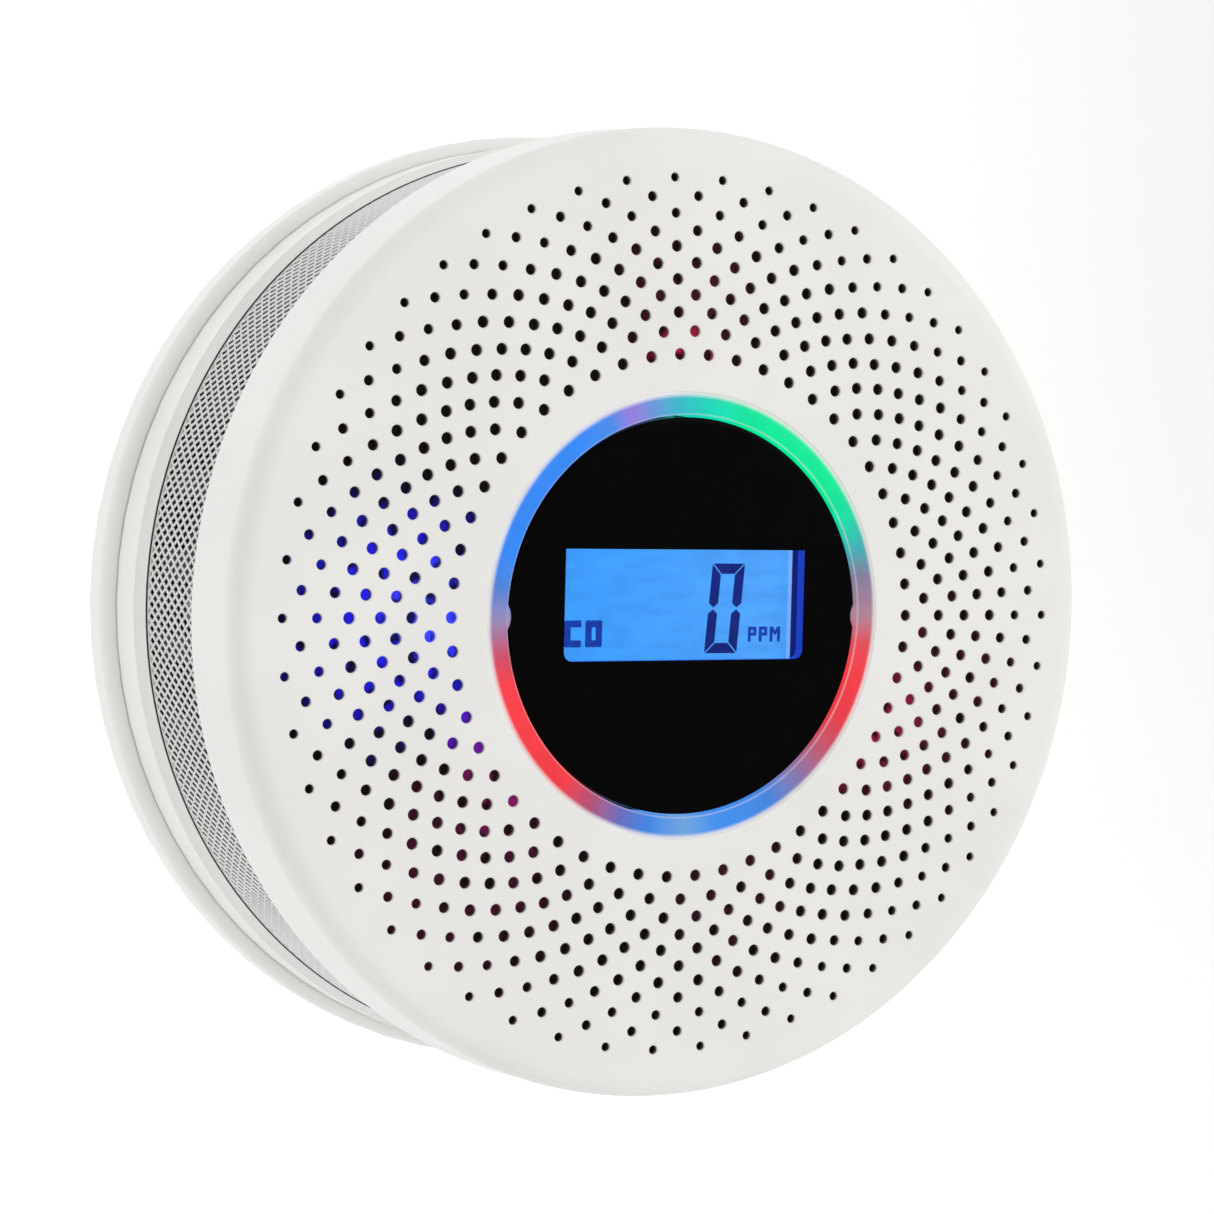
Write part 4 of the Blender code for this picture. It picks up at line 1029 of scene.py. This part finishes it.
def digit_zero(stroke):
    """Six slanted strokes of a large nought, mitred where they meet."""
    left, width, bottom, top = 0.0043, 0.00465, -0.0048, 0.0064
    lean = 0.085
    gap = 0.00012
    middle = (bottom + top) / 2
    point = stroke / 2

    def leaning(corners):
        return [(left + u + lean * (v - bottom), v) for u, v in corners]

    across = ((gap, 0.0), (width - gap, 0.0), (width - stroke - gap, stroke),
              (stroke + gap, stroke))
    strokes = [leaning([(u, bottom + v) for u, v in across]),
               leaning([(u, top - v) for u, v in across])]
    for end, way in ((bottom, 1), (top, -1)):
        tall = [(0.0, end + way * gap), (stroke, end + way * (stroke + gap)),
                (stroke, middle - way * point), (point, middle - way * gap),
                (0.0, middle - way * point)]
        strokes.append(leaning(tall))
        strokes.append(leaning([(width - u, v) for u, v in tall]))
    return strokes


def gas_mark():
    """Blocky C and O."""
    low, high, stroke = -0.0039, -0.0006, 0.00086
    soft = 0.00018
    shapes = []
    for start, end, right_side in ((-0.0154, -0.0131, False), (-0.0125, -0.0102, True)):
        far = end - stroke if right_side else end
        shapes += [bar(start, start + stroke, low, high, soft),
                   bar(start + stroke, far, low, low + stroke),
                   bar(start + stroke, far, high - stroke, high)]
        if right_side:
            shapes.append(bar(far, end, low, high, soft))
    return shapes


def unit_mark():
    """Thin P, P and M."""
    low, high, stroke = -0.0034, -0.0015, 0.00040
    middle = (low + high) / 2
    shapes = []
    for start in (0.0106, 0.0122):
        end = start + 0.0012
        shapes += [bar(start, start + stroke, low, high),
                   bar(start + stroke, end, high - stroke, high),
                   bar(start + stroke, end, middle - stroke / 2, middle + stroke / 2),
                   bar(end - stroke, end, middle + stroke / 2, high - stroke)]
    start, end = 0.0138, 0.0153
    centre = (start + end) / 2
    shapes += [bar(start, start + stroke, low, high), bar(end - stroke, end, low, high),
               [(start + stroke, high), (centre, middle + stroke), (centre, middle - stroke / 2),
                (start + stroke, high - stroke * 1.6)],
               [(end - stroke, high), (centre, middle + stroke), (centre, middle - stroke / 2),
                (end - stroke, high - stroke * 1.6)]]
    return shapes


class ALARM_OT_screen(bpy.types.Operator):
    """Build the lit screen and the marks that it shows"""
    bl_idname = "alarm.screen"
    bl_label = "Screen"

    def execute(self, context):
        sizes = context.scene.alarm_display
        corners = bar(SCREEN_LOW.x, SCREEN_HIGH.x, SCREEN_LOW.z, SCREEN_HIGH.z, 0.0003)
        glass = slab("lit_screen", corners, SCREEN_BACK, SCREEN_FRONT)
        soften(glass, 0.00015, 2)
        finish_piece(glass, finish("screen"), "head", "display_glass", "lcd_glass")
        front = SCREEN_FRONT + 0.00006
        for name, shapes in (("large_digit", digit_zero(sizes.stroke)),
                             ("gas_mark", gas_mark()), ("unit_mark", unit_mark())):
            marks = flat_marks(name, shapes, SCREEN_FRONT - 0.00002, front)
            finish_piece(marks, finish("segment"), "head", "display_glass")
        return {"FINISHED"}


# ---- the rest of the case and what is inside it --------------------------------------------
CASE_PARTS = (
    ("rear_housing", "moulded_housing", "white", "head", "white_plastic"),
    ("mounting_plate", "moulded_wall_plate", "white", "mounting_plate", "white_plastic"),
    ("battery_door", "moulded_battery_door", "white", "battery_door", "white_plastic"),
    ("vent_cage", "moulded_vent_cage", "grey", "head", "grey_plastic"),
    ("button_carrier", "moulded_carrier", "black", "test_button", "black_plastic"),
)

INNER_FINISHES = (
    ("switch_stem", "black", "black_plastic"), ("switch_body", "black", "black_plastic"),
    ("lcd_backlight", "pale", "backlight_white"), ("main_board", "board", "board_green"),
    ("display_board", "board", "board_green"), ("co_sensor", "steel", "steel"),
    ("sounder", "black", "black_plastic"), ("controller_chip", "black", "black_plastic"),
    ("capacitor", "black", "black_plastic"), ("battery_connector", "pale", "led_white"),
    ("contact", "nickel", "nickel"), ("battery_", "sleeve", "cell_wrap"),
    ("board_screw", "steel", "steel"), ("board_spacer", "pale", "white_plastic"),
    ("cover_screw", "steel", "steel"), ("ring_led", "pale", "led_white"),
)
ROUND_PARTS = ("battery_1", "battery_2", "battery_3", "co_sensor", "sounder", "capacitor",
               "contact_spring", "cover_screw", "board_screw")


class ALARM_OT_case(bpy.types.Operator):
    """Finish the moulded housing, wall plate, battery door, vent cage and carrier"""
    bl_idname = "alarm.case"
    bl_label = "Case"

    def execute(self, context):
        for node, name, look, body, slot in CASE_PARTS:
            piece = even_out(smooth(cad_copy(node, name), 30))
            finish_piece(piece, finish(look), body, slot, node)
        return {"FINISHED"}


class ALARM_OT_inner_parts(bpy.types.Operator):
    """Give the boards, cells, sensor, sounder and screws their finishes"""
    bl_idname = "alarm.inner_parts"
    bl_label = "Inner parts"

    def execute(self, context):
        done = {row[0] for row in CASE_PARTS}
        done |= {"front_cover", "mesh_band", "light_ring", "display_lens", "lcd_glass"}
        for node, source in sorted(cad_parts.items()):
            if node in done:
                continue
            rows = [row for row in INNER_FINISHES if node.startswith(row[0])]
            if not rows:
                raise RuntimeError("no finish is given for " + node)
            look, slot = rows[0][1:]
            if node.startswith(ROUND_PARTS):
                body = "test_button" if node.startswith("switch_stem") else "head"
                piece = even_out(smooth(cad_copy(node, "round_" + node), 35))
                finish_piece(piece, finish(look), body, slot, node)
                continue
            for place in source.material_slots:
                place.material = finish(look)
            if not source.material_slots:
                source.data.materials.append(finish(look))
        return {"FINISHED"}


# ---- floor, lights and camera --------------------------------------------------------------
CAMERA_PLACE = (-0.1864, -0.3656, 0.0197)
CAMERA_AIM = (0.0, -0.0230, 0.0)
CAMERA_LENS = 90.0
CAMERA_ROLL = 1.4
FLOOR_HEIGHT = -0.6
FLOOR_SIZE = 8.0
FLOOR_MIDDLE = -1.6
# how high the floor's front and back ends rise, and how wide the curve up to them is
FLOOR_RISE = 4.0
FLOOR_CURVE = 1.2
FLOOR_TINTS = ((0.895, 0.895, 0.895), (0.91, 0.91, 0.91))
ROOM_LIGHT = 0.80
# name, place, size, power and tint of each light
LIGHTS = (
    ("Key light", (1.00, -1.05, 0.50), 0.90, 5.4, (1.0, 0.99, 0.97)),
    ("Side light", (-1.20, 0.55, 0.20), 0.90, 2.0, (1.0, 0.995, 0.985)),
    ("Top light", (0.10, 0.20, 1.30), 1.20, 1.0, (1.0, 1.0, 1.0)),
    ("Backdrop light", (0.0, 0.75, 1.45), 1.60, 34.0, (1.0, 1.0, 1.0)),
)
BACKDROP_AIM = (0.0, 2.4, 1.0)
ALARM_MIDDLE = (0.0, -0.03, 0.0)


def aim(thing, target, roll=0.0):
    """Point a camera or light at a place, then roll it about its own view line."""
    direction = Vector(target) - thing.location
    turned = direction.to_track_quat("-Z", "Y").to_matrix().to_4x4()
    turned = turned @ Matrix.Rotation(math.radians(roll), 4, "Z")
    thing.rotation_euler = turned.to_euler()


def make_floor():
    """A pale floor that curves up at its front and back."""
    deselect()
    bpy.ops.mesh.primitive_plane_add(size=FLOOR_SIZE, location=(0, FLOOR_MIDDLE, FLOOR_HEIGHT))
    floor = settle(bpy.context.object)
    floor.name = "pale_floor"
    back = FLOOR_MIDDLE + FLOOR_SIZE / 2 - 0.01
    front = FLOOR_MIDDLE - FLOOR_SIZE / 2 + 0.01

    def at_an_end(a, b):
        return min(a.y, b.y) > back or max(a.y, b.y) < front

    edit(floor)
    pick_edges(floor, at_an_end)
    bpy.ops.mesh.extrude_edges_move(TRANSFORM_OT_translate={"value": (0, 0, FLOOR_RISE)})
    pick_edges(floor, lambda a, b: max(a.z, b.z) < 0.0 and at_an_end(a, b))
    bpy.ops.mesh.bevel(offset=FLOOR_CURVE, segments=16)
    bpy.ops.mesh.select_all(action="SELECT")
    bpy.ops.mesh.normals_make_consistent(inside=True)
    bpy.ops.object.mode_set(mode="OBJECT")
    smooth(floor, 40)
    material, tree, shader = new_material("Pale floor", Specular_IOR_Level=0.1, Roughness=0.8)
    cloud = noise(tree, object_place(tree), 2.0, 2.0)
    put(tree, shader, "Base Color", mix(tree, cloud, *FLOOR_TINTS))
    floor.data.materials.append(material)


def make_lights(scene):
    """A soft room all round, and four soft area lights."""
    world = bpy.data.worlds.new("Soft room")
    world.use_nodes = True
    background = world.node_tree.nodes["Background"]
    background.inputs["Color"].default_value = (1.0, 0.995, 0.985, 1.0)
    background.inputs["Strength"].default_value = ROOM_LIGHT
    scene.world = world
    for name, place, size, power, tint in LIGHTS:
        lamp = bpy.data.lights.new(name, "AREA")
        lamp.size = size
        lamp.energy = power
        lamp.color = tint
        light = bpy.data.objects.new(name, lamp)
        light.location = place
        scene.collection.objects.link(light)
        aim(light, BACKDROP_AIM if name == "Backdrop light" else ALARM_MIDDLE)


def make_camera(scene):
    """Look at the alarm from the front left, a little above its middle."""
    lens = bpy.data.cameras.new("Front left view")
    lens.lens = CAMERA_LENS
    lens.clip_start = 0.01
    camera = bpy.data.objects.new("Front left view", lens)
    camera.location = CAMERA_PLACE
    scene.collection.objects.link(camera)
    aim(camera, CAMERA_AIM, CAMERA_ROLL)
    scene.camera = camera


class ALARM_OT_stage(bpy.types.Operator):
    """Set the pale floor, the soft lights and the camera"""
    bl_idname = "alarm.stage"
    bl_label = "Floor, lights and camera"

    def execute(self, context):
        make_floor()
        make_lights(context.scene)
        make_camera(context.scene)
        context.scene.view_settings.view_transform = "Standard"
        return {"FINISHED"}


# ---- panel and registration ----------------------------------------------------------------
BUILD_ORDER = (ALARM_OT_stage, ALARM_OT_front_cover, ALARM_OT_mesh_band,
               ALARM_OT_light_ring, ALARM_OT_lens, ALARM_OT_screen, ALARM_OT_case,
               ALARM_OT_inner_parts)
SIZE_GROUPS = (("alarm_cover", AlarmCoverSizes), ("alarm_mesh", AlarmMeshSizes),
               ("alarm_display", AlarmDisplaySizes), ("alarm_colours", AlarmColours))


class ALARM_PT_builder(bpy.types.Panel):
    """Sizes, colours and building steps of the alarm"""
    bl_idname = "ALARM_PT_builder"
    bl_label = "Gas Alarm"
    bl_space_type = "VIEW_3D"
    bl_region_type = "UI"
    bl_category = "Gas Alarm"

    def draw(self, context):
        for step in BUILD_ORDER:
            self.layout.operator(step.bl_idname)
        for name, group in SIZE_GROUPS:
            box = self.layout.box()
            for key in group.__annotations__:
                box.prop(getattr(context.scene, name), key)


def register():
    for name, group in SIZE_GROUPS:
        bpy.utils.register_class(group)
        setattr(bpy.types.Scene, name, bpy.props.PointerProperty(type=group))
    for step in BUILD_ORDER:
        bpy.utils.register_class(step)
    bpy.utils.register_class(ALARM_PT_builder)


def unregister():
    bpy.utils.unregister_class(ALARM_PT_builder)
    for step in reversed(BUILD_ORDER):
        bpy.utils.unregister_class(step)
    for name, group in reversed(SIZE_GROUPS):
        delattr(bpy.types.Scene, name)
        bpy.utils.unregister_class(group)


def main():
    register()
    for step in BUILD_ORDER:
        family, action = step.bl_idname.split(".")
        getattr(getattr(bpy.ops, family), action)()
    deselect()
    bpy.context.view_layer.update()


if __name__ == "__main__":
    main()
